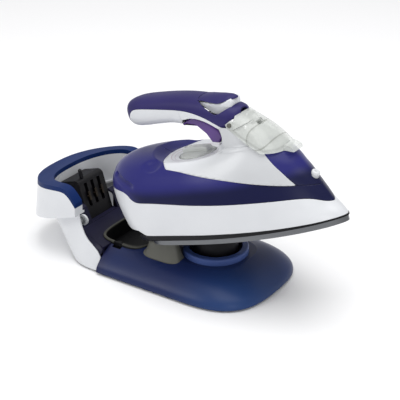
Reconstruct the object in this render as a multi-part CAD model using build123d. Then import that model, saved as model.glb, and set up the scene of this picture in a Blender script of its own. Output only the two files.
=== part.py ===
"""Cordless steam iron parked nose-up on its charging base.

World frame: millimetres, +Z up, +X towards the nose of the iron, origin on the ground
under the centre of the ring of the base.  The pieces of the iron are modelled in a
frame of their own: x = 0 at the tip of the soleplate and negative towards the heel,
z = 0 on the ironing face.  The whole iron is then pitched up and set over the base.
"""

from math import cos, radians, sin
import os

from build123d import *

# ---------------------------------------------------------------- driving dimensions
# the iron on its base
PITCH = 17.25            # nose-up angle of the parked iron
SOLE_RISE = 59.0         # ironing face above the ground, at the ring centre
NOSE_REACH = 159.5       # ring centre to the soleplate tip, along the iron

# soleplate and heater
SOLE_LENGTH = 224.0
SOLE_HALF = 57.0         # half of the widest place
SOLE_THICK = 5.5
SOLE_SHOULDER = 150.0    # the widest place starts this far behind the tip
STEAM_HOLE = 2.6         # diameter
CASTING_TOP = 24.0
HEATER_D = 7.0
COVER_THICK = 2.0
COVER_SCREWS = [(-176, -19), (-176, 19), (-124, -19), (-124, 19)]
CHAMBER_FLOOR = 5.0      # metal under the steam chamber
SEAL_THICK = 2.2
FEED_X = -92.0           # feed tube from the tank to the chamber
FEED_RADIUS = 3.0

# housing
SKIRT_Z = 12.0           # lower edge of the skirt over the ironing face
HEEL_Z = 17.0            # lower edge of the heel behind the soleplate
WALL = 2.4
DECK_Z = 89.0            # top of the rear deck
SOCKET_HALF = 17.0
SOCKET_Z = (26.0, 56.0)
SOCKET_REAR = 262.5
PLATE_PROUD = 1.5        # contact plates stand this much behind the socket
PLATE_Z = (31.0, 51.0)
HEEL_SCREWS = [(-246, -6), (-246, 6)]
NOZZLE_AT = (-25.0, 50.0)
NOZZLE_TILT = 57.0       # the spray leaves this much in front of upright
TANK_FLOOR = 52.0
TANK_ROOF = 79.0
TANK_WALL = 2.0

# handle
GRIP_HALF = 18.5         # half width of the handle
HANDLE_REAR = 233.0
GRIP_SCREWS = [(-214.0, 116.6), (-182.0, 118.1)]   # place and seat of each

# controls
DIAL_X = -158.0
DIAL_RADIUS = 19.5
DIAL_Z = (77.5, 86.0)
DIAL_GAP = 0.5           # round the dial in its cup
SHAFT_D = 9.0
TRIGGER_HALF = 13.0
TRIGGER_PIVOT = (-131.0, 119.0)
TRIGGER_SWING = 6.0
ROCKER_PIVOT = (-132.0, 127.0)
ROCKER_SWING = 4.0
ROCKER_HALF = 13.4
FLAP_PIVOT = (-78.0, 106.6)
PIN_D = 3.0
PUMP_AT = (-103.5, 3.0)
TANK_PIN_AT = (-95.5, 109.5)
PUMP_D = 12.0
PISTON_D = 4.0
VALVE_AT = (-108.0, -9.0)
VALVE_D = 3.6
VALVE_TOP = 101.0
PUMP_TOP = 104.0
PISTON_TOP = 116.4
HUB_RADIUS = 4.0         # hub of the trigger
HUB_HALF = 11.6

# charging base
TONGUE_HALF = 73.0
TONGUE_FRONT = 75.0
TONGUE_REAR = 103.0      # where the blue shell meets the white rear shell
BASE_REAR = 165.0
DOME_Z = 27.5
BASE_WALL = 2.6
RING_OUTER = 35.0
RING_INNER = 28.5
RING_TOP = 34.5
POST_RADIUS = 24.0
COLLAR_ARM_END = 134.0
RAIL_THICK = 5.0
POCKET_X = (-124.0, -62.0)
POCKET_HALF = 45.4       # outside of the liner
POCKET_FLOOR = 8.0
POCKET_RIM = 28.7
REST_X = (-58.0, -24.0)
REST_Y = (30.0, 43.0)
FOOT_Z = 2.5             # the shells stand this much over the ground
FOOT_D = 14.0
CENTRE_FOOT_D = 24.0
COVER_Z = 4.6            # top of the bottom cover
CONNECTOR_FACE = 314.5   # distance of the connector face behind the parked nose tip
CONNECTOR_DEPTH = 26.0
CONNECTOR_HALF = 21.0
CONNECTOR_Z = (14.0, 62.0)
SLOT_PITCH = 11.0
SLOT_WIDTH = 4.6
SPRING_PROUD = 2.7       # contact springs stand this much in front of the face
BUTTON_AT = (-141.0, -43.0, 42.0)
BUTTON_D = 12.0
BUTTON_LENGTH = 2.4
BUTTON_SEAT = 47.4       # floor of the hole behind the button
HOOK_X = -94.0

# base surfaces, as height, half width and reach of each level
TONGUE_LEVELS = [(2.5, 73.0, 75.0), (6.0, 72.6, 74.6), (12.0, 68.5, 70.0)]
TONGUE_LEVELS += [(18.0, 61.0, 62.0), (23.5, 50.5, 51.0), (DOME_Z, 38.0, 39.5)]
REAR_LEVELS = [(2.5, 70.0, -165.0), (14.0, 64.0, -171.0), (27.0, 57.5, -178.0)]
REAR_LEVELS += [(40.0, 53.0, -186.0), (58.0, 52.0, -193.0)]
REAR_LEAN = 1.3          # the rear wall leans in this much over the thickness of the cover
REAR_TOP = [(-103.0, 17.5), (-123.0, 31.0), (-131.0, 38.0), (-136.0, 55.4), (-216.0, 30.0)]
COLLAR_LEVELS = [(20.0, 68.0, -223.0), (90.0, 65.0, -213.0)]
COLLAR_UNDER = [(-134.0, 56.0), (-216.0, 30.0), (-232.0, 25.0)]
COLLAR_TOP = [(-232, 73.3), (-216, 75), (-185, 80), (-160, 84.5)]
COLLAR_TOP += [(-148, 84), (-140, 78), (-133, 69.5)]
COLLAR_INNER = (53.5, -194.0)   # half width and rear of the space between the arms
COLLAR_LEDGE = (50.6, -187.0)   # the floor of the collar reaches in to here
COLLAR_BEND = -152.0            # the arms run straight in front of this
TAIL_HALF = 22.5                # half of the room in the neck for the tail of the iron
NECK_TOP = [(-103.0, 26.5), (-125.0, 27.0), (-146.0, 28.0), (-154.0, 46.0), (-160.0, 48.0)]
NECK_PLAN = [(-103.0, 60.0), (-125.0, 50.0), (-140.0, 46.0), (-152.0, 38.0), (-160.0, 34.0)]
POST_TOP_PAD = 2.0              # rubber on top of the post
SCREW_AT = [(50.0, 30.0), (50.0, -30.0), (-132.0, 53.0), (-132.0, -53.0)]
FOOT_AT = [(42.0, 46.0), (42.0, -46.0), (-145.0, 42.0), (-145.0, -42.0)]
GLAND_Z = 14.0
GLAND_TUBE = (-177.0, -164.0)
PEDESTAL_X = (-160.0, -154.5)
PEDESTAL_HALF = 18.0
TERMINAL_LOW = (-147.5, 20.0)   # the terminal block on the cover, from this corner
TERMINAL_SIZE = (21.0, 17.0, 11.0)
CORD_BORE = 7.5
PEG_AT = (-318.0, -10.0)

# clearances
RUN = 0.05               # shafts in their holes
GAP = 0.35               # between a moving piece and its neighbours
SEAT = 0.3               # between fixed pieces that do not clamp each other

FAR = 400.0              # reaches past everything


# ---------------------------------------------------------------- small shape helpers
def side_face(points, curve=False):
    """A closed outline drawn in the XZ plane."""
    if not curve:
        return make_face(Plane.XZ * Polyline(*points, close=True))
    return make_face(Plane.XZ * Spline(*points, periodic=True))


def prism(points, half_width, centre=0.0, curve=False):
    """A side-view outline carried across, half_width each way from the centre."""
    face = side_face(points, curve)
    return Pos(0, centre, 0) * extrude(face, amount=half_width, both=True)


def over_line(points, top=FAR):
    """Everything above a smooth side-view line that runs from front to back."""
    line = Spline(*points)
    first, last = points[0], points[-1]
    edges = [
        line,
        Line(last, (last[0], top)),
        Line((last[0], top), (first[0], top)),
        Line((first[0], top), first),
    ]
    return extrude(Plane.XZ * make_face(edges), amount=FAR, both=True)


def rod_y(x, z, radius, half_width, centre=0.0):
    """A cylinder that lies across."""
    return Pos(x, centre, z) * Rot(90, 0, 0) * Cylinder(radius, 2 * half_width)


def rod_z(x, y, radius, low, high):
    """An upright cylinder."""
    return Pos(x, y, (low + high) / 2) * Cylinder(radius, high - low)


def block(low, high):
    """A box from its lowest to its highest corner."""
    size = [b - a for a, b in zip(low, high)]
    mid = [(a + b) / 2 for a, b in zip(low, high)]
    return Pos(*mid) * Box(*size)


def swung(shape, pivot, angle):
    """A piece turned about a crosswise axis through the side-view pivot."""
    x, z = pivot
    return Pos(x, 0, z) * Rot(0, angle, 0) * Pos(-x, 0, -z) * shape


def bow(middle, reach, half, along=2.0, across=2.0, steps=6):
    """Superellipse nose from (middle, half) round its far end to (middle, -half)."""
    points = []
    for k in range(steps + 1):
        turn = radians(90 * k / steps)
        x = middle + reach * sin(turn) ** (2 / along)
        points.append((x, half * max(0.0, cos(turn)) ** (2 / across)))
    return points + [(x, -y) for x, y in reversed(points[:-1])]


def oval_face(front, back, half, power=2.6):
    """A rounded outline between two x values, half wide each way."""
    middle, reach = (front + back) / 2, (front - back) / 2
    ahead = bow(middle, reach, half, power, power, steps=5)
    behind = bow(middle, -reach, half, power, power, steps=5)
    return make_face(Spline(*ahead, *reversed(behind[1:-1]), periodic=True))


def tongue_face(front, rear, half):
    """Blunt round nose on straight flanks, cut square at the rear."""
    nose = Spline(*bow(0, front, half, 3.0, 3.0))
    return make_face([nose, Polyline((0, -half), (rear, -half), (rear, half), (0, half))])


def stern_face(front, middle, rear, half):
    """Square at the front, straight flanks and a round stern behind the middle."""
    stern = Spline(*bow(middle, rear - middle, half, 2.4, 2.4))
    return make_face([stern, Polyline((middle, -half), (front, -half), (front, half), (middle, half))])


# ---------------------------------------------------------------- housing of the iron
# height, half width, nose and tail of the housing as it rises from the skirt edge
HULL = [
    (SKIRT_Z, 61.0, -3.0, 257.0),
    (22.0, 62.0, -11.0, 262.0),
    (32.0, 61.6, -16.5, 265.0),
    (42.0, 60.2, -22.0, 266.0),
    (52.0, 57.0, -28.0, 266.0),
    (62.0, 52.0, -36.5, 262.0),
    (72.0, 46.0, -44.5, 254.0),
    (81.0, 38.0, -51.5, 242.0),
    (DECK_Z, 26.0, -57.0, 222.0),
]

# height, half width, nose and tail of the column that carries tank and handle
TOWER = [
    (70.0, 35.0, -43.0, -132.0),
    (80.0, 32.0, -50.0, -127.0),
    (90.0, 28.0, -57.0, -123.5),
    (100.0, 24.5, -66.5, -121.0),
    (109.0, 21.5, -78.0, -119.5),
    (119.0, 19.0, -90.0, -118.5),
]

# x, underside, top and half width of the handle, from its rear end to the saddle tip
HANDLE = [
    (-HANDLE_REAR, 124.0, 139.5, 8.0),
    (-230.5, 118.5, 141.8, 13.0),
    (-225.0, 116.0, 143.6, 16.0),
    (-212.0, 115.5, 145.4, 18.0),
    (-190.0, 117.0, 145.6, GRIP_HALF),
    (-168.0, 117.0, 144.2, GRIP_HALF),
    (-148.0, 110.0, 142.0, GRIP_HALF),
    (-130.0, 103.0, 138.0, 18.2),
    (-112.0, 99.0, 131.0, 17.8),
    (-98.0, 100.0, 125.0, 16.0),
    (-88.0, 107.0, 119.0, 11.0),
]

CREASE = [(8, 18), (-11, 21.5), (-30, 31), (-62, 36), (-105, 40), (-150, 43.5)]
CREASE += [(-185, 46), (-208, 46.5), (-219, 51), (-228, 56), (-245, 57.5), (-280, 57.5)]
PANEL_EDGE = [(30, 30), (-12, 37.5), (-36, 44.5), (-60, 52), (-86, 58.5), (-110, 63.8)]
PANEL_EDGE += [(-135, 69), (-160, 74), (-176, 78), (-181, 82)]
GRIP_LINE = [(-92, 88), (-107, 107.2), (-113, 113), (-133, 124), (-156, 130), (-180, 133.5)]
GRIP_LINE += [(-205, 135), (-217, 133.5), (-224, 129), (-228, 120), (-229, 100)]
SADDLE_UNDER = [(-60, 119.2), (-88.4, 118.0), (-100, 112), (-107, 106.6), (-125, 95)]


def plan_face(half, nose, tail, shoulder=-150.0, rear=-190.0, power=2.3):
    """Boat-shaped outline: pointed bow, straight flanks and rounded stern."""
    side = []
    for share in (0.0, 0.004, 0.02, 0.06, 0.12, 0.22, 0.36, 0.55, 0.78):
        x = nose + (shoulder - nose) * share
        side.append((x, half * (1 - (1 - share) ** 2) ** (2 / 3)))
    side.append((shoulder, half))
    stern = bow(rear, -tail - rear, half, power, 2.0)
    back = [(x, -y) for x, y in reversed(side)]
    return make_face(Spline(*side, *stern, *back))


def hull(inset=0.0):
    """The housing as a solid, or the space inside a wall of this thickness."""
    faces = []
    for z, half, nose, tail in HULL:
        level = z
        if inset and z == SKIRT_Z:
            level = z - 1.0
        if inset and z == DECK_Z:
            level = z - inset
        faces.append(Pos(0, 0, level) * plan_face(half - inset, nose - 1.6 * inset, tail - inset))
    return loft(faces)


def tower(inset=0.0):
    """The column above the housing."""
    faces = []
    for z, half, nose, tail in TOWER:
        level = z - inset if z == TOWER[0][0] else z
        face = oval_face(nose - 1.5 * inset, tail + inset, half - inset)
        faces.append(Pos(0, 0, level) * face)
    return loft(faces)


def handle_mass(inset=0.0):
    """The grip from its rear end to the tip of the saddle."""
    faces = []
    for x, low, high, half in HANDLE:
        place = x
        if inset and x == HANDLE[0][0]:
            place = x + inset
        if inset and x == HANDLE[-1][0]:
            place = x - 2 * inset
        face = oval_face(high - inset, low + inset, half - inset, 2.5)
        faces.append(Plane((place, 0, 0), x_dir=(0, 0, 1), z_dir=(1, 0, 0)) * face)
    return loft(faces)


# side-view outlines of the controls
TRIGGER_UNDER = [(-159, 111), (-149.2, 110.6), (-141.7, 109), (-135.3, 103.7), (-131, 96.7)]
TRIGGER_UNDER += [(-128.1, 90.9), (-123, 89.4)]
TRIGGER = [(-159, 113.7)] + TRIGGER_UNDER + [(-116.5, 91.0), (-113.6, 95.5), (-114.6, 100.3)]
TRIGGER += [(-119.9, 107.1), (-130.5, 114), (-140.4, 118.2), (-148.5, 120.2)]
CAP_EDGE = [(-137.5, 131.2), (-131, 129.3), (-120, 127.3), (-106, 130.2), (-95.5, 133)]
CAP_TOP = [(-92.5, 134.6), (-97, 136), (-131, 139.3), (-137.5, 138.6)]
NOTCH_EDGE = [(-139, 131.5), (-128, 127.6), (-120.5, 122.7), (-114.5, 119.2)]
NOTCH_EDGE += [(-108.5, 119.4), (-101, 121.8), (-94, 124.4), (-84, 125.6)]
FLAP_LINE = [(-99, 102.9), (-60, 114.4)]
ROCKER = [(-136.8, 130.2), (-134.6, 124.2), (-129.5, 123.6)]
ROCKER += [(x, z - 3.0) for x, z in NOTCH_EDGE[2:6]] + [(-94, 122.6), (-91, 124.4), (-90, 132.8)]
ROCKER += list(reversed(CAP_EDGE[1:]))
TRIGGER_WEB = [(-134, 119), (-128, 119), (-127, 106), (-134, 106)]
ARM_END = VALVE_AT[0] + 3.5
TRIGGER_ARM = [(-131, 120.5), (-131, 112), (-114, VALVE_TOP + 0.4), (ARM_END, VALVE_TOP + 0.4)]
TRIGGER_ARM += [(ARM_END, VALVE_TOP + 3.4), (-114, VALVE_TOP + 5)]


def swing_room(points, pivot, angle, half_width, clearance):
    """The space that a side-view shape needs while it swings through an angle."""
    room = None
    face = side_face(points)
    grown = offset(face, clearance)
    for share in (0.0, 0.5, 1.0):
        turned = swung(extrude(grown, amount=half_width, both=True), pivot, share * angle)
        room = turned if room is None else room + turned
    return room


def sole_face(inset=0.0):
    """Outline of the soleplate, or of something that stays this much inside it."""
    return plan_face(
        SOLE_HALF - inset,
        -1.5 * inset,
        SOLE_LENGTH - inset,
        shoulder=-SOLE_SHOULDER,
        rear=-176.0,
        power=2.8,
    )


def heater_path():
    """Centre line of the U-shaped heater."""
    corners = [(-203, -33, 0), (-112, -33, 0), (-36, 0, 0), (-112, 33, 0), (-203, 33, 0)]
    return Pos(0, 0, CASTING_TOP - 2) * FilletPolyline(*corners, radius=[45, 13, 45])


def heater_solid():
    """The round bar that follows the heater path."""
    path = heater_path()
    section = Plane(origin=path @ 0, z_dir=path % 0) * Circle(HEATER_D / 2)
    return sweep(section, path=path)


def heating_group():
    """Soleplate, its casting, heater, chamber cover and the thermostat."""
    nodes = {}
    plate = extrude(sole_face(), amount=SOLE_THICK)
    holes = []
    for share in (0.12, 0.2, 0.29, 0.39, 0.5, 0.62, 0.75, 0.88):
        x = -(SOLE_SHOULDER + 30) * share - 8
        y = SOLE_HALF * (1 - (1 - share * 0.9) ** 2) ** (2 / 3) - 13
        holes += [(x, y), (x, -y)]
        if share > 0.3:
            holes += [(x + 6, y - 14), (x + 6, 14 - y)]
    for x, y in holes:
        plate -= rod_z(x, y, STEAM_HOLE / 2, -1, SOLE_THICK + 1)
    nodes["soleplate"] = plate

    casting = Pos(0, 0, SOLE_THICK) * extrude(sole_face(12), amount=CASTING_TOP - SOLE_THICK)
    heater = heater_solid()
    nodes["sole_casting"] = casting - chamber_room() - heater
    nodes["heating_element"] = heater
    cover = Pos(0, 0, CASTING_TOP) * extrude(chamber_face(4), amount=COVER_THICK)
    screws = []
    for x, y in COVER_SCREWS:
        cover -= rod_z(x, y, 1.7, CASTING_TOP - 1, CASTING_TOP + COVER_THICK + 1)
        screws.append(pan_screw(x, y, CASTING_TOP + COVER_THICK, 3.0, 8.0))
    for screw in screws:
        nodes["sole_casting"] -= screw
    valve_x, valve_y = VALVE_AT
    cover -= rod_z(valve_x, valve_y, VALVE_D / 2 + 0.4, CASTING_TOP - 1, CASTING_TOP + 5)
    nodes["chamber_cover"] = cover
    nodes["cover_screws"] = Compound(children=screws)
    top = CASTING_TOP + COVER_THICK
    body = rod_z(DIAL_X, 0, 12, top, top + 9)
    body += block((DIAL_X - 22, -5, top), (DIAL_X - 8, 5, top + 3))
    body -= rod_z(DIAL_X, 0, SHAFT_D / 2 - 1.5 + RUN, top + 2, top + 10)
    nodes["thermostat"] = body
    seal_low = TANK_FLOOR - SEAL_THICK
    bore = rod_z(FEED_X, 0, FEED_RADIUS, top - 1, TANK_FLOOR + 1)
    nodes["feed_tube"] = rod_z(FEED_X, 0, FEED_RADIUS + 2, top, seal_low) - bore
    nodes["tank_seal"] = rod_z(FEED_X, 0, FEED_RADIUS + 4, seal_low, TANK_FLOOR) - bore
    return nodes


def chamber_face(grow=0.0):
    """Outline of the steam chamber between the legs of the heater."""
    points = [(-172, -16), (-112, -16), (-78, -5), (-78, 5), (-112, 16), (-172, 16)]
    face = make_face(Polyline(*points, close=True))
    return offset(face, grow) if grow else face


def chamber_room():
    """The steam chamber, open to the top of the casting."""
    low = SOLE_THICK + CHAMBER_FLOOR
    return Pos(0, 0, low) * extrude(chamber_face(), amount=CASTING_TOP - low + 1)


def span_z(x, y, radius, a, b):
    """An upright cylinder between two heights given in any order."""
    return rod_z(x, y, radius, min(a, b), max(a, b))


def pan_screw(x, y, seat, diameter, length, up=True):
    """A slotted screw whose head stands on the seat, or hangs under it."""
    sign = 1 if up else -1
    head = 0.6 * diameter * sign
    shank = span_z(x, y, diameter / 2, seat, seat - sign * length)
    top = span_z(x, y, 0.9 * diameter, seat, seat + head)
    slot = Pos(x, y, seat + head) * Box(2 * diameter, 0.7, abs(head))
    return shank + top - slot


def housing_group():
    """Heat shield, skirt, heel, band, nose, side housings, tank, grip and saddle."""
    nodes = {}
    outer, inner = hull(), hull(WALL)
    shell = outer - inner
    below_crease = over_line(CREASE, top=-FAR)
    above_crease = over_line(CREASE)
    above_panel = over_line(PANEL_EDGE)

    shield = Pos(0, 0, SOLE_THICK) * extrude(sole_face(-0.6), amount=SKIRT_Z - 1.5 - SOLE_THICK)
    shelf = Pos(0, 0, SKIRT_Z - 1.5) * extrude(sole_face(-2.4), amount=1.5)
    shield = shield + shelf - extrude(sole_face(6), amount=30)
    nodes["heat_shield"] = shield

    heel_cut = prism([(-203, -5), (-203, SKIRT_Z), (-213, HEEL_Z), (-300, HEEL_Z), (-300, -5)], FAR)
    socket_low, socket_high = SOCKET_Z
    window = block(
        (-300, -SOCKET_HALF - SEAT, socket_low - SEAT),
        (-SOCKET_REAR + 24, SOCKET_HALF + SEAT, socket_high + SEAT),
    )
    nodes["skirt"] = biggest((shell & below_crease) - heel_cut - window)
    plate = Pos(0, 0, HEEL_Z) * extrude(heel_face(), amount=2.2)
    plate &= hull(WALL + 0.1)
    plate -= extrude(sole_face(10.5), amount=CASTING_TOP + 5)
    socket = block(
        (-SOCKET_REAR, -SOCKET_HALF, socket_low), (-SOCKET_REAR + 26, SOCKET_HALF, socket_high)
    )
    screws = []
    for x, y in HEEL_SCREWS:
        plate -= rod_z(x, y, 1.7, HEEL_Z - 1, HEEL_Z + 5)
        screws.append(pan_screw(x, y, HEEL_Z, 3.0, 9.0, up=False))
        socket -= screws[-1]
    nodes["heel_plate"] = plate
    nodes["heel_screws"] = Compound(children=screws)
    foot = block((-SOCKET_REAR + 6.5, -10, HEEL_Z + 2.2), (-SOCKET_REAR + 22, 10, socket_low))
    for screw in screws:
        foot -= screw
    nodes["contact_socket"] = socket + foot
    plates = []
    for side in (-1, 0, 1):
        y = side * SLOT_PITCH
        low = (-SOCKET_REAR - PLATE_PROUD, y - 2.5, PLATE_Z[0])
        plates.append(block(low, (-SOCKET_REAR, y + 2.5, PLATE_Z[1])))
    nodes["contact_plates"] = Compound(children=plates)

    # the white and the purple parts of the shell
    white_outline = [(-36, 44.5), (-36, 20), (-200, 20), (-200, 70), (-181, 82), (-176, 86.2)]
    white_outline += [(-166, 88.6), (-157, 91), (-153, 104), (-153, 129.2)]
    white_outline += [(-133, 124), (-113, 113), (-107, 107.3), (-99.2, 107.3), (-63.5, 80.5)]
    white_zone = prism(white_outline, FAR) & above_panel
    tank_outline = [(-63.5, 80.5), (-98.9, 107.4), (-92, 104.5), (-60, 113.9), (-20, 100)]
    tank_outline += [(-30, 71.6), (-42, 75), (-50, 77.2)]
    ear_outline = [(-98.4, 106.2), (-100.5, 110.6), (-95.5, 113.4), (-91.5, 111.5), (-91.5, 103.0)]
    ears = (tower() - tower(TANK_WALL)) & prism(ear_outline, FAR)
    nose_outline = [(-36, 44.5), (-63.5, 80.5), (-50, 77.2), (-42, 75), (-30, 71.6)]
    nose_outline += [(-5, 60), (-5, 36.2), (-15, 36.8)]
    nose_zone = prism(nose_outline, FAR)

    dial_room = rod_z(DIAL_X, 0, DIAL_RADIUS + DIAL_GAP, DIAL_Z[0] - GAP, DECK_Z + 1)
    cup_low, cup_high = DIAL_Z[0] - GAP - WALL, DECK_Z - WALL + 0.3
    cup = rod_z(DIAL_X, 0, DIAL_RADIUS + DIAL_GAP + WALL, cup_low, cup_high) - dial_room
    cup -= rod_z(DIAL_X, 0, SHAFT_D / 2 + GAP, 0, DECK_Z)
    band = (shell & above_crease) - white_zone - nose_zone - window
    band -= prism([(-63.5, 80.5), (-50, 77.2), (-30, 71.6), (0, 60), (0, 120), (-100, 120)], FAR)
    band = band - dial_room - cup
    nodes["body_band"] = biggest(band)
    nose = shell & nose_zone
    nozzle_bore = nozzle_place() * Cylinder(3.6, 30)
    boss = (nozzle_place() * Cylinder(6.6, 8)) & nose_zone
    nose = nose + (boss - inner) + (boss - outer) - nozzle_bore
    nodes["nose_cover"] = nose

    trigger_room = swing_room(TRIGGER, TRIGGER_PIVOT, TRIGGER_SWING + 0.3, 30, 0.7)
    finger_low = DECK_Z + 0.3
    under = [(x, z - 0.2) for x, z in TRIGGER_UNDER]
    trigger_room += prism([(-172, finger_low), (-172, 110.8)] + under + [(-122, finger_low)], 30)
    trigger_room += rod_y(*TRIGGER_PIVOT, HUB_RADIUS + GAP, HUB_HALF + 0.2)
    for outline in (TRIGGER_WEB, TRIGGER_ARM):
        swing = swing_room(outline, TRIGGER_PIVOT, TRIGGER_SWING + 0.3, HUB_HALF + 0.2, 0.5)
        trigger_room += swing
    notch = prism(NOTCH_EDGE + [(-84, 160), (-139, 160)], 30)
    rocker_room = swing_room(ROCKER, ROCKER_PIVOT, ROCKER_SWING + 0.3, 30, 0.5)
    rocker_room &= rocker_plan(ROCKER_HALF + 0.4, -88.6)
    tall, tall_in = tower(), tower(WALL)
    grip, grip_in = handle_mass(), handle_mass(WALL)
    front_grip = grip & block((-153, -40, 60), (-80, 40, 160))
    mass = outer + tall + front_grip
    space = inner + tall_in + grip_in
    side_housing = (mass - space) & white_zone
    side_housing = (side_housing + cup) - dial_room - trigger_room - notch
    pin = rod_y(*TRIGGER_PIVOT, PIN_D / 2, 16.4)
    bosses = rod_y(*TRIGGER_PIVOT, PIN_D, 16.6) - rod_y(*TRIGGER_PIVOT, FAR, 12.0)
    side_housing = side_housing + (bosses & grip) - pin
    near = block((-FAR, -FAR, -FAR), (FAR, 0, FAR))
    nodes["right_housing"] = biggest(side_housing & near)
    nodes["left_housing"] = biggest(side_housing - near)
    nodes["trigger_pin"] = pin

    # the tank: the clear front, a throat and the room under the side housings
    tank_zone = prism(tank_outline, FAR)
    front = (outer + tall) & tank_zone
    front_in = (hull(TANK_WALL) + tower(TANK_WALL)) & prism(inset_outline(tank_outline, TANK_WALL), FAR)
    under = hull(WALL + 0.9) & block((-122, -FAR, TANK_FLOOR), (-58, FAR, TANK_ROOF))
    under_low = (-122 + TANK_WALL, -FAR, TANK_FLOOR + TANK_WALL)
    under_high = (-58 - TANK_WALL, FAR, TANK_ROOF - TANK_WALL)
    under_in = hull(WALL + 0.9 + TANK_WALL) & block(under_low, under_high)
    throat = block((-86, -13, 70), (-64.5, 13, 86))
    throat_in = block((-84, -11, 68), (-66.5, 11, 88))
    valve_x, valve_y = VALVE_AT
    tube_in = rod_z(valve_x, valve_y, VALVE_D / 2 + 2.4, 40, 90)
    tank = front + under + throat - ((front_in + under_in + throat_in) - tube_in)
    tank -= rod_z(valve_x, valve_y, VALVE_D / 2 + 0.4, 40, 90)
    tank -= rod_z(FEED_X, 0, FEED_RADIUS, TANK_FLOOR - 5, TANK_FLOOR + 4)
    tank -= Pos(-88, 0, 106) * Rot(0, -16, 0) * Cylinder(5.5, 20)
    spout = prism([(-50, 77.2), (-37.5, 74.2), (-38.5, 78.6), (-46, 82.5)], 9) - front_in
    knuckle = rod_y(*FLAP_PIVOT, 2.2, 9.5) & tall
    cutout = block((FLAP_PIVOT[0] - 3.2, -5.4, FLAP_PIVOT[1] - 3.2), (-60, 5.4, 120))
    hinge_pin = rod_y(*FLAP_PIVOT, PIN_D / 2 - 0.5, 8.5)
    ear_pins = [rod_y(*TANK_PIN_AT, 2.2, 3.5, side * 18.9) for side in (-1, 1)]
    tank = tank + ears + spout + knuckle - cutout - hinge_pin
    for pin in ear_pins:
        tank -= pin
    nodes["water_tank"] = biggest(tank)
    nodes["tank_pins"] = Compound(children=ear_pins)
    nodes["flap_pin"] = hinge_pin

    flap = ((tall - tower(TANK_WALL)) & over_line(FLAP_LINE)) - over_line(SADDLE_UNDER)
    flap &= block((-91.2, -FAR, 0), (0, FAR, FAR))
    arm = prism([(-80.2, 106), (-76.4, 106), (-77, 111), (-82, 111.8)], 5.0) & tall
    flap = flap + (rod_y(*FLAP_PIVOT, 2.2, 5.0) & tall) + arm
    flap -= rod_y(*FLAP_PIVOT, PIN_D / 2 - 0.5 + RUN, FAR)
    nodes["filler_flap"] = biggest(flap)

    line_top = over_line(GRIP_LINE)
    cover = (grip - grip_in) & line_top
    under_saddle = [(-60, 100), (-60, 118)] + SADDLE_UNDER[1:4] + [(-107, 100)]
    cover = cover - notch - prism(under_saddle, FAR)
    rocker_pin = rod_y(*ROCKER_PIVOT, PIN_D / 2, 17.0)
    for x, seat in GRIP_SCREWS:
        cover += rod_z(x, 0, 4.5, seat + 1.4, 150) & grip_in
    nodes["grip_cover"] = biggest(cover - rocker_room - rocker_pin)
    nodes["rocker_pin"] = rocker_pin
    lower = ((grip - grip_in) - line_top) & block((-FAR, -FAR, 0), (-153, FAR, FAR))
    lower -= trigger_room
    screws = []
    for x, seat in GRIP_SCREWS:
        lower -= rod_z(x, 0, 3.1, 100, seat)
        lower -= rod_z(x, 0, 1.7, 100, seat + 3)
        screws.append(pan_screw(x, 0, seat, 3.0, 12.0, up=False))
        nodes["grip_cover"] -= screws[-1]
    nodes["handle_shell"] = biggest(lower)
    nodes["handle_screws"] = Compound(children=screws)
    return nodes


def nozzle_place():
    """Where the spray nozzle sits, with +Z along the spray."""
    x, z = NOZZLE_AT
    return Pos(x, 0, z) * Rot(0, NOZZLE_TILT, 0)


def heel_face():
    """Outline that the heel plate is cut from."""
    return plan_face(60, -150, 262, shoulder=-196.0, rear=-197.0)


def biggest(shape):
    """The largest solid of a cut, without the slivers that the cut leaves."""
    solids = sorted(shape.solids(), key=lambda s: s.volume)
    return solids[-1]


def inset_outline(points, amount):
    """Corner points of a side-view outline moved inwards."""
    face = offset(make_face(Polyline(*points, close=True)), -amount)
    loop = face.face().outer_wire()
    return [(v.X, v.Y) for v in ordered_vertices(loop)]


def ordered_vertices(wire):
    """Start points of the edges of a loop, in their order."""
    return [edge @ 0 for edge in wire.order_edges()]


def coil(foot, axis, length, radius, wire=0.9, turns=7):
    """A compression spring that stands on a foot point and runs along an axis."""
    clear = length - wire - 0.1
    path = Helix(pitch=clear / turns, height=clear, radius=radius)
    section = Plane(origin=path @ 0, z_dir=path % 0) * Circle(wire / 2)
    spring = Pos(0, 0, (length - clear) / 2) * sweep(section, path=path)
    return Plane(origin=foot, z_dir=axis) * spring


# ---------------------------------------------------------------- controls of the iron
def rocker_plan(half, front):
    """Plan of the thumb rocker, narrower towards the saddle."""
    right = [(-137.2, half), (-110, half), (-98, half - 1.6), (front, half - 5.4)]
    left = [(x, -y) for x, y in reversed(right)]
    return extrude(make_face(Polyline(*right, *left, close=True)), amount=FAR, both=True)


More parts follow.
